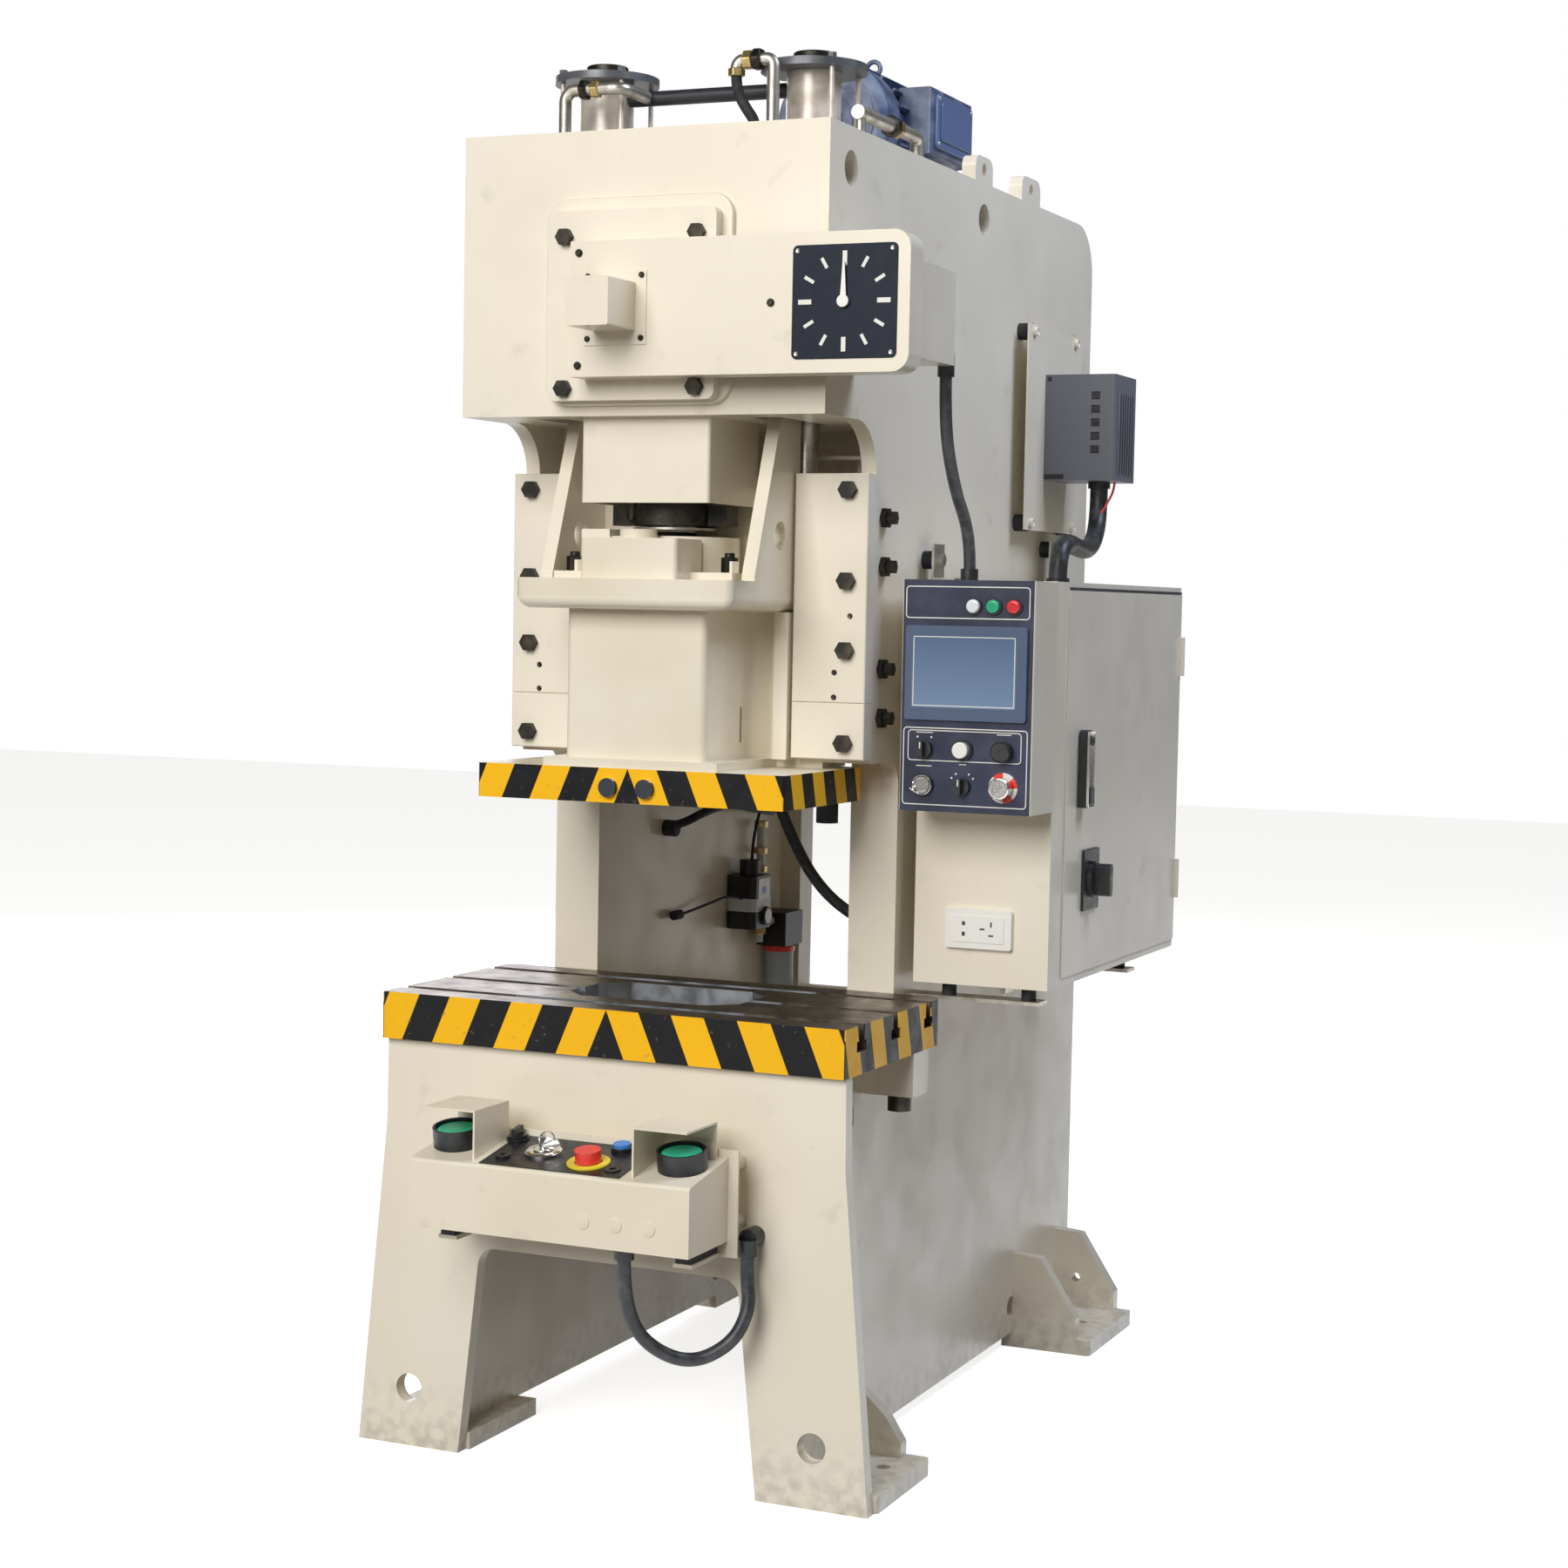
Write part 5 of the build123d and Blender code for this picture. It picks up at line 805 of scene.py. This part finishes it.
def room_light(strength):
    """A white room: full white behind the press, dimmer as light on it."""
    world = bpy.data.worlds.new("room")
    bpy.context.scene.world = world
    tree = empty_tree(world)
    dim = add(tree, "ShaderNodeBackground", {"Color": shade("#F6EFE2"), "Strength": strength})
    white = add(tree, "ShaderNodeBackground", {"Color": shade("#FFFFFF"), "Strength": 1.0})
    both = add(tree, "ShaderNodeMixShader", None,
               {0: seen_rays(tree, "Is Transmission Ray"), 1: dim.outputs[0], 2: white.outputs[0]})
    add(tree, "ShaderNodeOutputWorld", None, {"Surface": both.outputs[0]})


class PRESS_OT_stage(bpy.types.Operator):
    """Sets the camera, the floor and the lights"""

    bl_idname = "press.stage"
    bl_label = "Stage"

    def execute(self, context):
        settings = context.scene.press_stage
        context.scene.camera = solved_camera()
        clear_selection()
        bpy.ops.mesh.primitive_plane_add(size=settings.floor_size, location=(0, 0, 0))
        floor = settled()
        floor.name = "floor"
        floor.data.materials.append(floor_paint())
        for name in LIGHTS:
            soft_light(name, getattr(settings, name + "_power"))
        room_light(settings.room)
        context.scene.view_settings.view_transform = "Standard"
        return {"FINISHED"}


# Each cord: the node that it stands for, its thickness, true length, finish, stiffness and points
CORDS = (
    ("arm_conduit", 19, 345.4, "grey_conduit", "stiff",
     [(455, 133, 1713), (455, 133, 1670), (454, 150, 1605), (449, 208, 1537), (445, 262, 1500),
      (443, 290, 1455), (443, 290, 1425)]),
    ("station_conduit", 21, 418.1, "grey_conduit", "stiff",
     [(118, -235, 392), (118, -235, 335), (134, -208, 264), (190, -160, 224), (246, -125, 254),
      (264, -103, 306), (255, -96, 350), (255, -96, 384)]),
    ("inverter_cable", 32, 409.3, "black_cable", "stiff",
     [(425, 1012, 1585), (425, 1012, 1545), (431, 980, 1500), (442, 905, 1470), (449, 825, 1472),
      (451, 752, 1482), (450, 712, 1458), (450, 712, 1418)]),
    ("air_hose", 17, 105.7, "rubber", "stiff",
     [(97, 128, 2186), (97, 128, 2164), (112, 130, 2136), (130, 132, 2112), (130, 132, 2089)]),
)


# Hoses and wires that no solid stands for, each by its name and the same values
HOSES = (
    ("throat_hose", 20, 924.2, "ribbed_hose", "stiff",
     [(-150, 660, 1496), (-150, 660, 1380), (-120, 655, 1220), (-60, 645, 1070), (-10, 640, 955),
      (45, 640, 868), (120, 640, 815), (200, 640, 800), (286, 640, 800)]),
    ("wall_hose", 16, 466.9, "rubber", "stiff",
     [(-284, 700, 955), (-258, 704, 958), (-228, 760, 985), (-228, 860, 990), (-238, 980, 975),
      (-238, 1085, 960), (-268, 1130, 960)]),
    ("signal_tube", 6, 247.8, "rubber", "medium",
     [(-252, 1010, 870), (-252, 1010, 900), (-250, 1028, 950), (-248, 1060, 1010), (-258, 1080, 1080),
      (-286, 1085, 1090)]),
    ("plug_tube", 5, 232.7, "rubber", "medium",
     [(-254, 972, 800), (-258, 930, 812), (-268, 850, 800), (-274, 760, 790), (-274, 742, 790)]),
    ("red_wire", 4.4, 65.6, "red_plastic", "medium",
     [(458, 1000, 1600), (456, 1004, 1582), (446, 1000, 1560), (436, 994, 1540)]),
)


def lay_cord(name, thickness, length, finish, stiffness, points):
    """A cord as one smooth spline through its points' hull. Its real length is not used."""
    curve = bpy.data.curves.new(name, "CURVE")
    curve.dimensions = "3D"
    curve.bevel_depth = thickness / 2000
    curve.bevel_resolution = 8
    curve.resolution_u = 16
    curve.use_fill_caps = True
    spline = curve.splines.new("NURBS")
    spline.points.add(len(points) - 1)
    for point, target in zip(points, spline.points):
        target.co = (*place(*point), 1.0)
    spline.order_u = 3
    spline.use_endpoint_u = True
    run = bpy.data.objects.new(name, curve)
    bpy.context.scene.collection.objects.link(run)
    curve.materials.append(FINISHES[finish])
    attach(run, "frame")
    return run


class PRESS_OT_cords(bpy.types.Operator):
    """Lays the conduits, the cable bundle and the hoses"""

    bl_idname = "press.cords"
    bl_label = "Conduits and hoses"

    def execute(self, context):
        for node, *values in CORDS:
            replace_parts(lay_cord(node + "_run", *values), node)
        for hose in HOSES:
            lay_cord(*hose)
        return {"FINISHED"}


# Solids whose finish is a variant of their slot's
OWN_FINISH = {"mounting_brackets": "brackets", "cable_glands": "black_plastic", "ring_knob": "chrome_switch"}


class PRESS_OT_finishes(bpy.types.Operator):
    """Paints every solid of the press with the finish of its slot"""

    bl_idname = "press.finishes"
    bl_label = "Finishes"

    def execute(self, context):
        FINISHES.update(make_finishes(context.scene.press_paint))
        slots = {part["node"]: part["material_slot"] for part in frame["record"]["subparts"]}
        for name, node in NODES.items():
            node.data.materials.clear()
            node.data.materials.append(FINISHES[OWN_FINISH.get(name, slots[name])])
        return {"FINISHED"}


def limits(node):
    """The limits of a solid on the three axes, in millimetres."""
    low, high = (corner * 1000 + Vector((0, HEAD_FRONT, 0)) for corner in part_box(node))
    return (low.x, high.x), (low.y, high.y), (low.z, high.z)


def plate(x, y, z, corner, axis="Y", edge=0.5):
    """A thin plate with rounded corners and broken edges."""
    return soften(edges_along(block(x, y, z, 0), axis, corner), edge, 60, 1)


def screw(centre, radius, height, axis="Y", sign=-1):
    """A small round screw head with its recess."""
    head = soften(disc(centre, radius, height, axis, 20), radius * 0.12, 60, 1)
    inset_faces(head, end_face(axis, sign), radius * 0.42, -height * 0.45)
    return head


def hexagon(centre, across, height, axis="Z"):
    """A hexagon nut or head with its edges broken."""
    return soften(disc(centre, across / math.sqrt(3), height, axis, 6), across * 0.05, 40, 1)


def ring(centre, inner, outer, height, axis="Z", turn=None, edge=0.4):
    """A flat ring: a disc that is bored through and has its edges broken."""
    body = disc(centre, outer, height, axis, 48, turn)
    bored(body, [(centre, inner)], axis, height * 3, 48, turn)
    return soften(body, edge, 60, 1)


def line_frame(x, z, y, width, corner=6):
    """A thin printed line round a rectangle on the panel's front."""
    low, high = place(x[0], y, z[0]), place(x[1], y, z[1])
    clear_selection()
    bpy.ops.mesh.primitive_plane_add(size=1, location=(low + high) / 2, rotation=(math.pi / 2, 0, 0))
    bpy.context.object.scale = (high.x - low.x, high.z - low.z, 1)
    obj = settled()
    edit_all(obj)
    bpy.ops.mesh.bevel(offset=corner / 1000, segments=4, affect="VERTICES")
    bpy.ops.mesh.select_all(action="SELECT")
    bpy.ops.mesh.inset(thickness=width / 1000)
    bpy.ops.mesh.delete(type="FACE")
    done_editing()
    return modified(obj, "SOLIDIFY", thickness=0.0005, offset=1)


def wire_ring(centre, radius, wire, turn, steps):
    """A ring of round wire: a small circle spun about the ring's middle, then turned and put in place."""
    clear_selection()
    bpy.ops.mesh.primitive_circle_add(vertices=8, radius=wire / 1000, location=(radius / 1000, 0, 0),
                                      rotation=(math.pi / 2, 0, 0))
    obj = settled()
    edit_all(obj)
    bpy.ops.mesh.spin(steps=steps, angle=math.tau, center=(0, 0, 0), axis=(0, 0, 1))
    bpy.ops.mesh.select_all(action="SELECT")
    bpy.ops.mesh.remove_doubles(threshold=0.00001)
    bpy.ops.mesh.normals_make_consistent(inside=False)
    done_editing()
    obj.data.transform(Matrix.Translation(place(*centre)) @ Euler(turn).to_matrix().to_4x4())
    return obj


def on_station(x, y, height=0.0):
    """A point above the station's sloping top, square to it."""
    top = STATION_FRONT_TOP + (y - STATION_FRONT) * math.tan(STATION_TILT)
    return (x, y - height * math.sin(STATION_TILT), top + height * math.cos(STATION_TILT))


def station_ring(spot, inner, outer, low, high):
    """A ring round a control on the station's top, between two heights."""
    return ring(on_station(*spot, (low + high) / 2), inner, outer, high - low, "Z", LEAN)


class PRESS_OT_dial(bpy.types.Operator):
    """Adds the black dial plate with its marks and screws"""

    bl_idname = "press.dial"
    bl_label = "Crank-angle dial"

    def execute(self, context):
        settings = context.scene.press_dial
        half = settings.size / 2
        face = ARM_FRONT - 2
        middle = (DIAL_X, face, CRANK_Z)
        back = plate((DIAL_X - half, DIAL_X + half), (face, ARM_FRONT),
                     (CRANK_Z - half, CRANK_Z + half), 8)
        bored(back, [(middle, POINTER_HOLE)])
        dress("dial_plate", back, "dial_enamel")
        patterns = [block((DIAL_X - width, DIAL_X + width), (face - 0.4, face + 0.1),
                          (CRANK_Z + start, CRANK_Z + 73), 0.1, 1) for width, start in ((3.6, 52), (2.6, 56))]
        marks = [turned_copy(patterns[index % 3 > 0], math.tau * index / settings.marks, "Y", middle)
                 for index in range(settings.marks)]
        for pattern in patterns:
            bpy.data.objects.remove(pattern)
        group_up("dial_marks", marks, "white_ink")
        corners = [(DIAL_X + x, face - 0.6, CRANK_Z + z) for x in (-75, 75) for z in (-75, 75)]
        group_up("dial_screws", several(screw, corners, 3.4, 1.2), "bright_steel")
        return {"FINISHED"}


class PRESS_OT_head(bpy.types.Operator):
    """Adds the screws of the arm and cap, the gib dowels and the stay under the head"""

    bl_idname = "press.head"
    bl_label = "Head fittings"

    def execute(self, context):
        arm = [(x, ARM_FRONT - 1.5, CRANK_Z + z) for x, z in ((-62, 84), (-62, -86), (259, 1))]
        cap = [(x, ARM_FRONT - 3.2, CRANK_Z + z) for x in (-45, 46) for z in (-46, 48)]
        group_up("arm_screws", several(screw, arm, 6, 3) + several(screw, cap, 4.5, 2.6), "black_oxide")
        dowels = [(x, GIB_FACE, z) for x, z in
                  ((263, 1258), (263, 1219), (-264, 1257), (-264, 1218), (288, 1347))]
        group_up("gib_dowels", several(screw, dowels, 4.5, 1.6), "black_oxide")
        # A thin stay runs from neck to neck, behind the ram's wings.
        stay = soften(disc((0, 285, 1600), 3.5, 532, "X", 16), 0.6, 60, 1)
        group_up("head_stay", [stay], "cream_enamel")
        # The lubrication slot in the ram's right flank, seen as a dark line, drawn as a black block: painted
        # shade of the slot's inside.
        slot = block((120.4, 121.5), (133.5, 137.0), (1144, 1200), 0.3, 1)
        group_up("ram_slot", [slot], "black_plastic", "slide")
        bolts = several(hexagon, [(x, 60, 1422) for x in (-139, 132)], 24, 24)
        bolts += several(screw, [(x, 60, 1437) for x in (-139, 132)], 8, 8, "Z", 1)
        group_up("seat_bolts", bolts, "black_oxide", "slide")
        seat_top = limits("ball_seat")[2][1]
        washer = ring((0, 135, seat_top + 2), 47, 66, 4)
        group_up("screw_collar", [washer], "galvanised_pipe", "slide")
        # A slot in the right side plate, drawn as a black block: painted shade of the slot's inside.
        notch_shade = block((SIDE_FACE - 0.5, SIDE_FACE + 0.5), (161, 170), (550, 573), 0.3, 1)
        group_up("side_slot", [notch_shade], "black_plastic")
        return {"FINISHED"}


class PRESS_OT_sockets(bpy.types.Operator):
    """Adds the white socket plate on the cabinet's front"""

    bl_idname = "press.sockets"
    bl_label = "Socket plate"

    def execute(self, context):
        well = SOCKET_FRONT - 1.2
        face = plate((392, 505), (SOCKET_FRONT, 363), (814, 878), 4)
        inner = plate((404, 493), (well, SOCKET_FRONT), (824, 868), 3)
        group_up("socket_plate", [face, inner], "white_plastic")
        # The socket's holes, drawn as black blocks: painted shade of the holes' insides.
        holes = [block((x - w, x + w), (well - 0.5, well + 0.3), (z - h, z + h), 0.2, 1)
                 for x, z, w, h in ((424, 855, 2.6, 3.2), (424, 838, 2.6, 3.2), (456, 847, 4.2, 1.3),
                                    (471, 855, 1.3, 4.2), (471, 837, 4.2, 1.3))]
        group_up("socket_holes", holes, "black_plastic")
        return {"FINISHED"}


class PRESS_OT_pendant(bpy.types.Operator):
    """Adds the printed lines, bezels and marks of the pendant head"""

    bl_idname = "press.pendant"
    bl_label = "Pendant head"

    def execute(self, context):
        width = context.scene.press_panel.line_width
        face = PANEL_FRONT
        frames = [line_frame((352, 559), (1346, 1397), face, width),
                  line_frame((352, 560), (1051, 1174), face, width),
                  line_frame((360, 550), (1121, 1170), face, width * 0.9)]
        x, y, z = limits("touch_screen")
        picture = ((x[0] + 13, x[1] - 19), (z[0] + 22, z[1] - 17))
        frames.append(line_frame(*picture, y[0] + 0.9, 1.4, 0.6))
        group_up("panel_lines", frames, "white_ink")
        bezels = several(ring, [(x, face - 2, LAMP_Z) for x in LAMPS], 11.3, 13.6, 4, "Y")
        bezels += several(ring, [(PANEL_COLUMNS[1], face - 3, PANEL_ROWS[0]), (KEY[0], face - 3, KEY[1])],
                          13.6, 17, 6, "Y")
        group_up("panel_bezels", bezels, "black_plastic")
        group_up("key_collar", [ring((KEY[0], face - 5, KEY[1]), 14, 16, 10, "Y")], "chrome_switch")
        self.stop_ring()
        self.key()
        dots = [(x + DOT_CIRCLE * math.sin(turn), face - 0.2, z + DOT_CIRCLE * math.cos(turn))
                for (x, z), angles in ((MODE, (-32, 32)), (LOWER, (-55, -30, 30, 55)))
                for turn in map(math.radians, angles)]
        marks = several(disc, dots, 1.6, 0.5, "Y", 12)
        for x, z, half in ((388, 1113, 13), (388, 1166, 14), (521, 1166, 12), (453, 1117, 6)):
            marks.append(block((x - half, x + half), (face - 0.4, face), (z - 0.7, z + 0.7), 0.1, 1))
        group_up("panel_marks", marks, "white_ink")
        for body, (x, z) in (("mode_selector", MODE), ("lower_selector", LOWER)):
            line = block((x - 1, x + 1), (face - 21.4, face - 20.8), (z + 1, z + 11), 0.1, 1)
            group_up(body + "_line", [line], "white_ink", body)
        return {"FINISHED"}

    def stop_ring(self):
        """The red and white ring under the lower right knob, in eight parts."""
        centre = (PANEL_COLUMNS[2], PANEL_FRONT - 0.3, PANEL_ROWS[1])
        radius, band = 24, 9.5
        target = disc(centre, radius, 0.6, "Y", 32)
        inset_faces(target, end_face("Y", -1), band)
        bored(target, [(centre, BUTTON_HOLE)])
        dress("knob_ring", target, "red_plastic")
        target.data.materials.append(FINISHES["white_ink"])
        middle = place(*centre)
        for face in target.data.polygons:
            away = face.center - middle
            part = int((math.atan2(away.z, away.x) + math.pi + 0.01) / (math.pi / 4))
            face.material_index = part % 2 if away.length > (radius - band) / 1000 else 1

    def key(self):
        """A short key with its bow and a small ring in the key switch."""
        x, z = KEY
        bow = plate((x - 1.1, x + 1.1), (PANEL_FRONT - 46, PANEL_FRONT - 28), (z - 9.5, z + 9.5),
                    5, "X", 0.3)
        bored(bow, [((x, PANEL_FRONT - 40, z), 3)], "X", 10, 20)
        loop = wire_ring((x, PANEL_FRONT - 41, z - 8), 9, 0.8, (0, math.radians(28), 0.4), 32)
        group_up("key_bow", [bow, loop], "chrome_switch", "key_switch")


class PRESS_OT_cabinet(bpy.types.Operator):
    """Adds a strip of painted shadow along the door's top edge, the handle's cover, the isolator plate and
    the inverter's ribs
    """

    bl_idname = "press.cabinet"
    bl_label = "Cabinet and inverter"

    def execute(self, context):
        top = limits("cabinet_door")[2][1]
        # Painted shadow: a thin dark strip along the door's top edge, where the cabinet's top rim shades it.
        shadow_strip = block((565.4, 567.6), (429, 1076), (top + 0.6, top + 5), 0.4, 1)
        group_up("door_seal", [shadow_strip], "rubber")
        x = limits("door_handle")[0][1]
        cover = plate((x - 3, x + 1.4), (487, 519), (1041.5, 1166.5), 6, "X")
        inset_faces(cover, end_face("X", 1), 3.2, -0.6)
        group_up("handle_cover", [cover], "chrome_switch", "door_handle")
        grip = plate((x + 0.6, x + 3.4), (493, 513), (1047, 1074), 3, "X")
        lock = ring((x + 1.4, 503, 1150), 3, 8, 2.4, "X")
        group_up("handle_latch", [grip, lock], "black_plastic", "door_handle")
        base = plate((DOOR_FACE + 0.1, DOOR_FACE + 5.3), (519, 601), (867, 969), 3, "X", 1)
        bored(base, [((DOOR_FACE + 2, 560, 918), BUTTON_HOLE)], "X", 30)
        group_up("isolator_plate", [base], "black_plastic", "cabinet_door")
        mark = block((606.0, 606.8), (558.6, 561.4), (925, 941), 0.1, 1)
        group_up("isolator_mark", [mark], "white_ink", "isolator_knob")
        self.inverter()
        return {"FINISHED"}

    def inverter(self):
        """The ribs on the inverter's side, black blocks of painted shade in the vents of its front, and the
        screws of its plate.
        """
        (left, right), (front, _), (bottom, top) = limits("inverter")
        rib = block((right - 1, right + 3), (front + 20, front + 25), (bottom + 12, top - 30), 0.8, 2)
        group_up("inverter_ribs", spread(rib, [(0, 14 * index, 0) for index in range(7)]), "drive_housing")
        # The vents, drawn as black blocks: painted shade of their openings.
        vent_shades = [block(x, (front - 0.5, front + 1), z, 0.3, 1)
                 for x, z in (((right - 44, right - 28), (bottom + 49, bottom + 61)),
                              ((left + 2, left + 38), (bottom + 2, bottom + 11)),
                              ((left + 4, left + 12), (top - 12, top - 4)))]
        vent_shades += spread(vent_shades[0], [(0, 0, 24 * index) for index in range(5)])[1:]
        group_up("inverter_vents", vent_shades, "black_plastic")
        corners = [(344.5, y, z) for z in (1857, 1518) for y in (876, 1111)]
        group_up("inverter_screws", several(screw, corners, 8, 7, "X", 1), "cream_enamel")


class PRESS_OT_station(bpy.types.Operator):
    """Adds the black plate, the button shrouds and the keys of the two-hand station"""

    bl_idname = "press.station"
    bl_label = "Two-hand station"

    def execute(self, context):
        self.top_plate()
        for body, spot in PALMS.items():
            shroud = station_ring(spot, PALM_SHROUD_HOLE, PALM_SHROUD, 0.2, 31)
            group_up(body + "_shroud", [shroud], "black_plastic")
            cap = soften(disc(on_station(*spot, 17), 33, 20, "Z", 48, LEAN), 5, 60, 4)
            stem = soften(disc(on_station(*spot, -9), 8, 32, "Z", 24, LEAN), 0.5, 60, 1)
            button = group_up(body + "_cap", [cap, stem], "green_plastic", body)
            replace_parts(button, body)
        yellow = station_ring(STATION_STOP, 21, 33, 1.4, 4.6)
        group_up("stop_ring", [yellow], "yellow_plastic")
        dome = station_ring(STATION_KEY, 14.6, 29, 1.4, 6)
        inset_faces(dome, lambda face: face.normal.z > 0.97, 3, 1.5)
        group_up("key_dome", [dome], "chrome_switch")
        self.keys()
        small = [station_ring((-96, -222), 4, 12, 1.4, 6),
                 station_ring((92, -226), 5, 13, 1.4, 3.4)]
        group_up("station_lamps", small, "black_plastic")
        collar = [station_ring(STATION_BLUE, 13.6, 17, 1.4, 8),
                  station_ring(STATION_SELECTOR, 15, 18, 1.4, 5)]
        group_up("station_collars", collar, "black_plastic")
        plug = soften(disc((62, STATION_FRONT - 0.4, 447), 11, 1.8, "Y", 32), 0.7, 60, 2)
        plugs = spread(plug, [(x, 0, 0) for x in (62, 116, 171)])
        group_up("station_plugs", plugs, "station_enamel")
        return {"FINISHED"}

    def top_plate(self):
        """Black cover plate on the sloping top, bored for the controls."""
        front, back = STATION_PLATE
        clear_selection()
        bpy.ops.mesh.primitive_cube_add(
            size=1, location=place(*on_station(-1.5, (front + back) / 2, 0.8)), rotation=LEAN,
            scale=(0.237, (back - front - 4) / 1000, 0.0015))
        top = settled()
        soften(top, 0.4, 60, 1)
        # The two pressed heads sink into the plate, so their holes are as wide as they are.
        holes = [(on_station(*spot), radius) for spot, radius in
                 ((STATION_KEY, BUTTON_HOLE), (STATION_STOP, STOP_HEAD + 0.6),
                  (STATION_BLUE, BLUE_HEAD + 0.4), (STATION_SELECTOR, BUTTON_HOLE))]
        bored(top, holes, "Z", 20, 24, LEAN)
        group_up("station_plate", [top], "black_plastic")

    def keys(self):
        """Two keys on a ring, hanging from the key switch."""
        x, y = STATION_KEY
        blades = []
        for shift, turn in ((9, 0.5), (17, 1.1)):
            centre = on_station(x + shift, y - 4, 17)
            clear_selection()
            bpy.ops.mesh.primitive_cube_add(size=1, location=place(*centre), scale=(0.011, 0.0022, 0.028),
                                            rotation=(0.3, turn, 0.4))
            blade = settled()
            edge_round(blade, 0.6)
            blades.append(blade)
        loop = wire_ring(on_station(x + 8, y, 24), 12, 1.1, (1.1, 0.3, 0), 36)
        group_up("station_keys", [*blades, loop], "chrome_switch", "station_key")


class PRESS_OT_top(bpy.types.Operator):
    """Adds the pipe unions, the motor's box lid and the fan grille on the head"""

    bl_idname = "press.top"
    bl_label = "Head top"

    def execute(self, context):
        # Each hexagon: its middle, its width across the flats, its thickness and its axis.
        unions = (((118, 128, 2208), 27, 16, "X"), ((290, 318, 2125), 29, 16, "Y"),
                  ((-150, 128, 2178), 25, 14, "X"), ((97, 128, 2190), 24, 12, "Z"))
        group_up("pipe_unions", [hexagon(*union) for union in unions], "brass")
        nuts = (((134, 128, 2208), 31, 14, "X"), ((290, 302, 2125), 32, 14, "Y"),
                ((-170, 128, 2178), 29, 12, "X"), ((160, 128, 2100), 30, 16, "Z"),
                ((-205, 128, 2100), 30, 16, "Z"))
        group_up("pipe_nuts", [hexagon(*nut) for nut in nuts], "black_oxide")
        cap = ring((-184, BALANCER_Y, 2225), 12, 34, 16, "Z", None, 1.5)
        group_up("balancer_caps", spread(cap, [(-184, 0, 0), (184, 0, 0)]), "black_oxide")
        x = limits("motor")[0][1]
        lid = plate((x - 1, x + 5), (858, 1037), (2186, 2282), 9, "X", 1.5)
        raised = plate((x + 5, x + 8), (872, 1023), (2200, 2268), 7, "X", 1.2)
        group_up("terminal_lid", [lid, raised], "motor_lid")
        corners = [(x + 5.4, y, z) for y in (866, 1029) for z in (2194, 2274)]
        group_up("lid_screws", several(screw, corners, 4, 2, "X", 1), "bright_steel")
        grille = [ring((0, 728.5, 2221), inner, inner + 4, 3, "Y") for inner in (20, 40, 60, 80)]
        group_up("fan_grille", grille, "motor_paint")
        return {"FINISHED"}


class PRESS_OT_throat(bpy.types.Operator):
    """Adds the fittings of the air unit in the throat"""

    bl_idname = "press.throat"
    bl_label = "Throat"

    def execute(self, context):
        wall = THROAT_WALL
        boot = soften(disc((wall + 12, 702, 952), 15, 26, "X", 24), 2, 60, 2)
        group_up("hose_boot", [boot], "rubber")
        plug = soften(disc((wall + 14, 728, 790), 9, 30, "Y", 20), 1.5, 60, 2)
        group_up("tube_plug", [plug], "rubber")
        fittings = [(wall + 20, 1085, z) for z in (936, 884, 848, 772, 726)]
        group_up("riser_fittings", several(hexagon, fittings, 24, 13), "brass")
        label = plate((wall + 61, wall + 63), (984, 1036), (797, 838), 3, "X", 0.4)
        group_up("valve_face", [label], "white_plastic")
        badge = plate((wall + 62.6, wall + 63.6), (1002, 1018), (808, 822), 3, "X", 0.2)
        group_up("valve_dot", [badge], "blue_plastic")
        dial = ring((wall + 66, 1015, 765), 4, 18, 9, "X", None, 1)
        glass = soften(disc((wall + 67, 1015, 765), 14, 8, "X", 32), 0.5, 60, 1)
        group_up("gauge", [dial], "black_plastic")
        group_up("gauge_glass", [glass], "white_plastic")
        band = ring((wall + 32, 1159, 686), 27.2, 30, 10)
        group_up("bowl_band", [band], "red_plastic")
        return {"FINISHED"}


class PRESS_PT_panel(bpy.types.Panel):
    """Lists the pieces of the press"""

    bl_label = "Punch press"
    bl_idname = "PRESS_PT_panel"
    bl_space_type = "VIEW_3D"
    bl_region_type = "UI"
    bl_category = "Press"

    def draw(self, context):
        for step in STEPS:
            self.layout.operator(step)
        for group in SETTINGS:
            settings = getattr(context.scene, group)
            box = self.layout.box()
            for name in settings.bl_rna.properties.keys():
                if name not in ("rna_type", "name"):
                    box.prop(settings, name)


STEPS = ("press.stage", "press.finishes", "press.cords", "press.dial", "press.head", "press.sockets",
         "press.pendant", "press.cabinet", "press.station", "press.top", "press.throat")

CLASSES = (
    PressPaintSettings, PressStageSettings, PressDialSettings, PressPanelSettings, PRESS_OT_stage,
    PRESS_OT_finishes, PRESS_OT_cords, PRESS_OT_dial, PRESS_OT_head, PRESS_OT_sockets, PRESS_OT_pendant,
    PRESS_OT_cabinet, PRESS_OT_station, PRESS_OT_top, PRESS_OT_throat, PRESS_PT_panel,
)

SETTINGS = {"press_paint": PressPaintSettings, "press_stage": PressStageSettings,
            "press_dial": PressDialSettings, "press_panel": PressPanelSettings}


def register():
    for item in CLASSES:
        bpy.utils.register_class(item)
    for name, settings in SETTINGS.items():
        setattr(bpy.types.Scene, name, PointerProperty(type=settings))


def unregister():
    for name in SETTINGS:
        delattr(bpy.types.Scene, name)
    for item in reversed(CLASSES):
        bpy.utils.unregister_class(item)


def main():
    """Registers the add-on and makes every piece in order."""
    register()
    for step in STEPS:
        group, name = step.split(".")
        getattr(getattr(bpy.ops, group), name)()


if __name__ == "__main__":
    main()
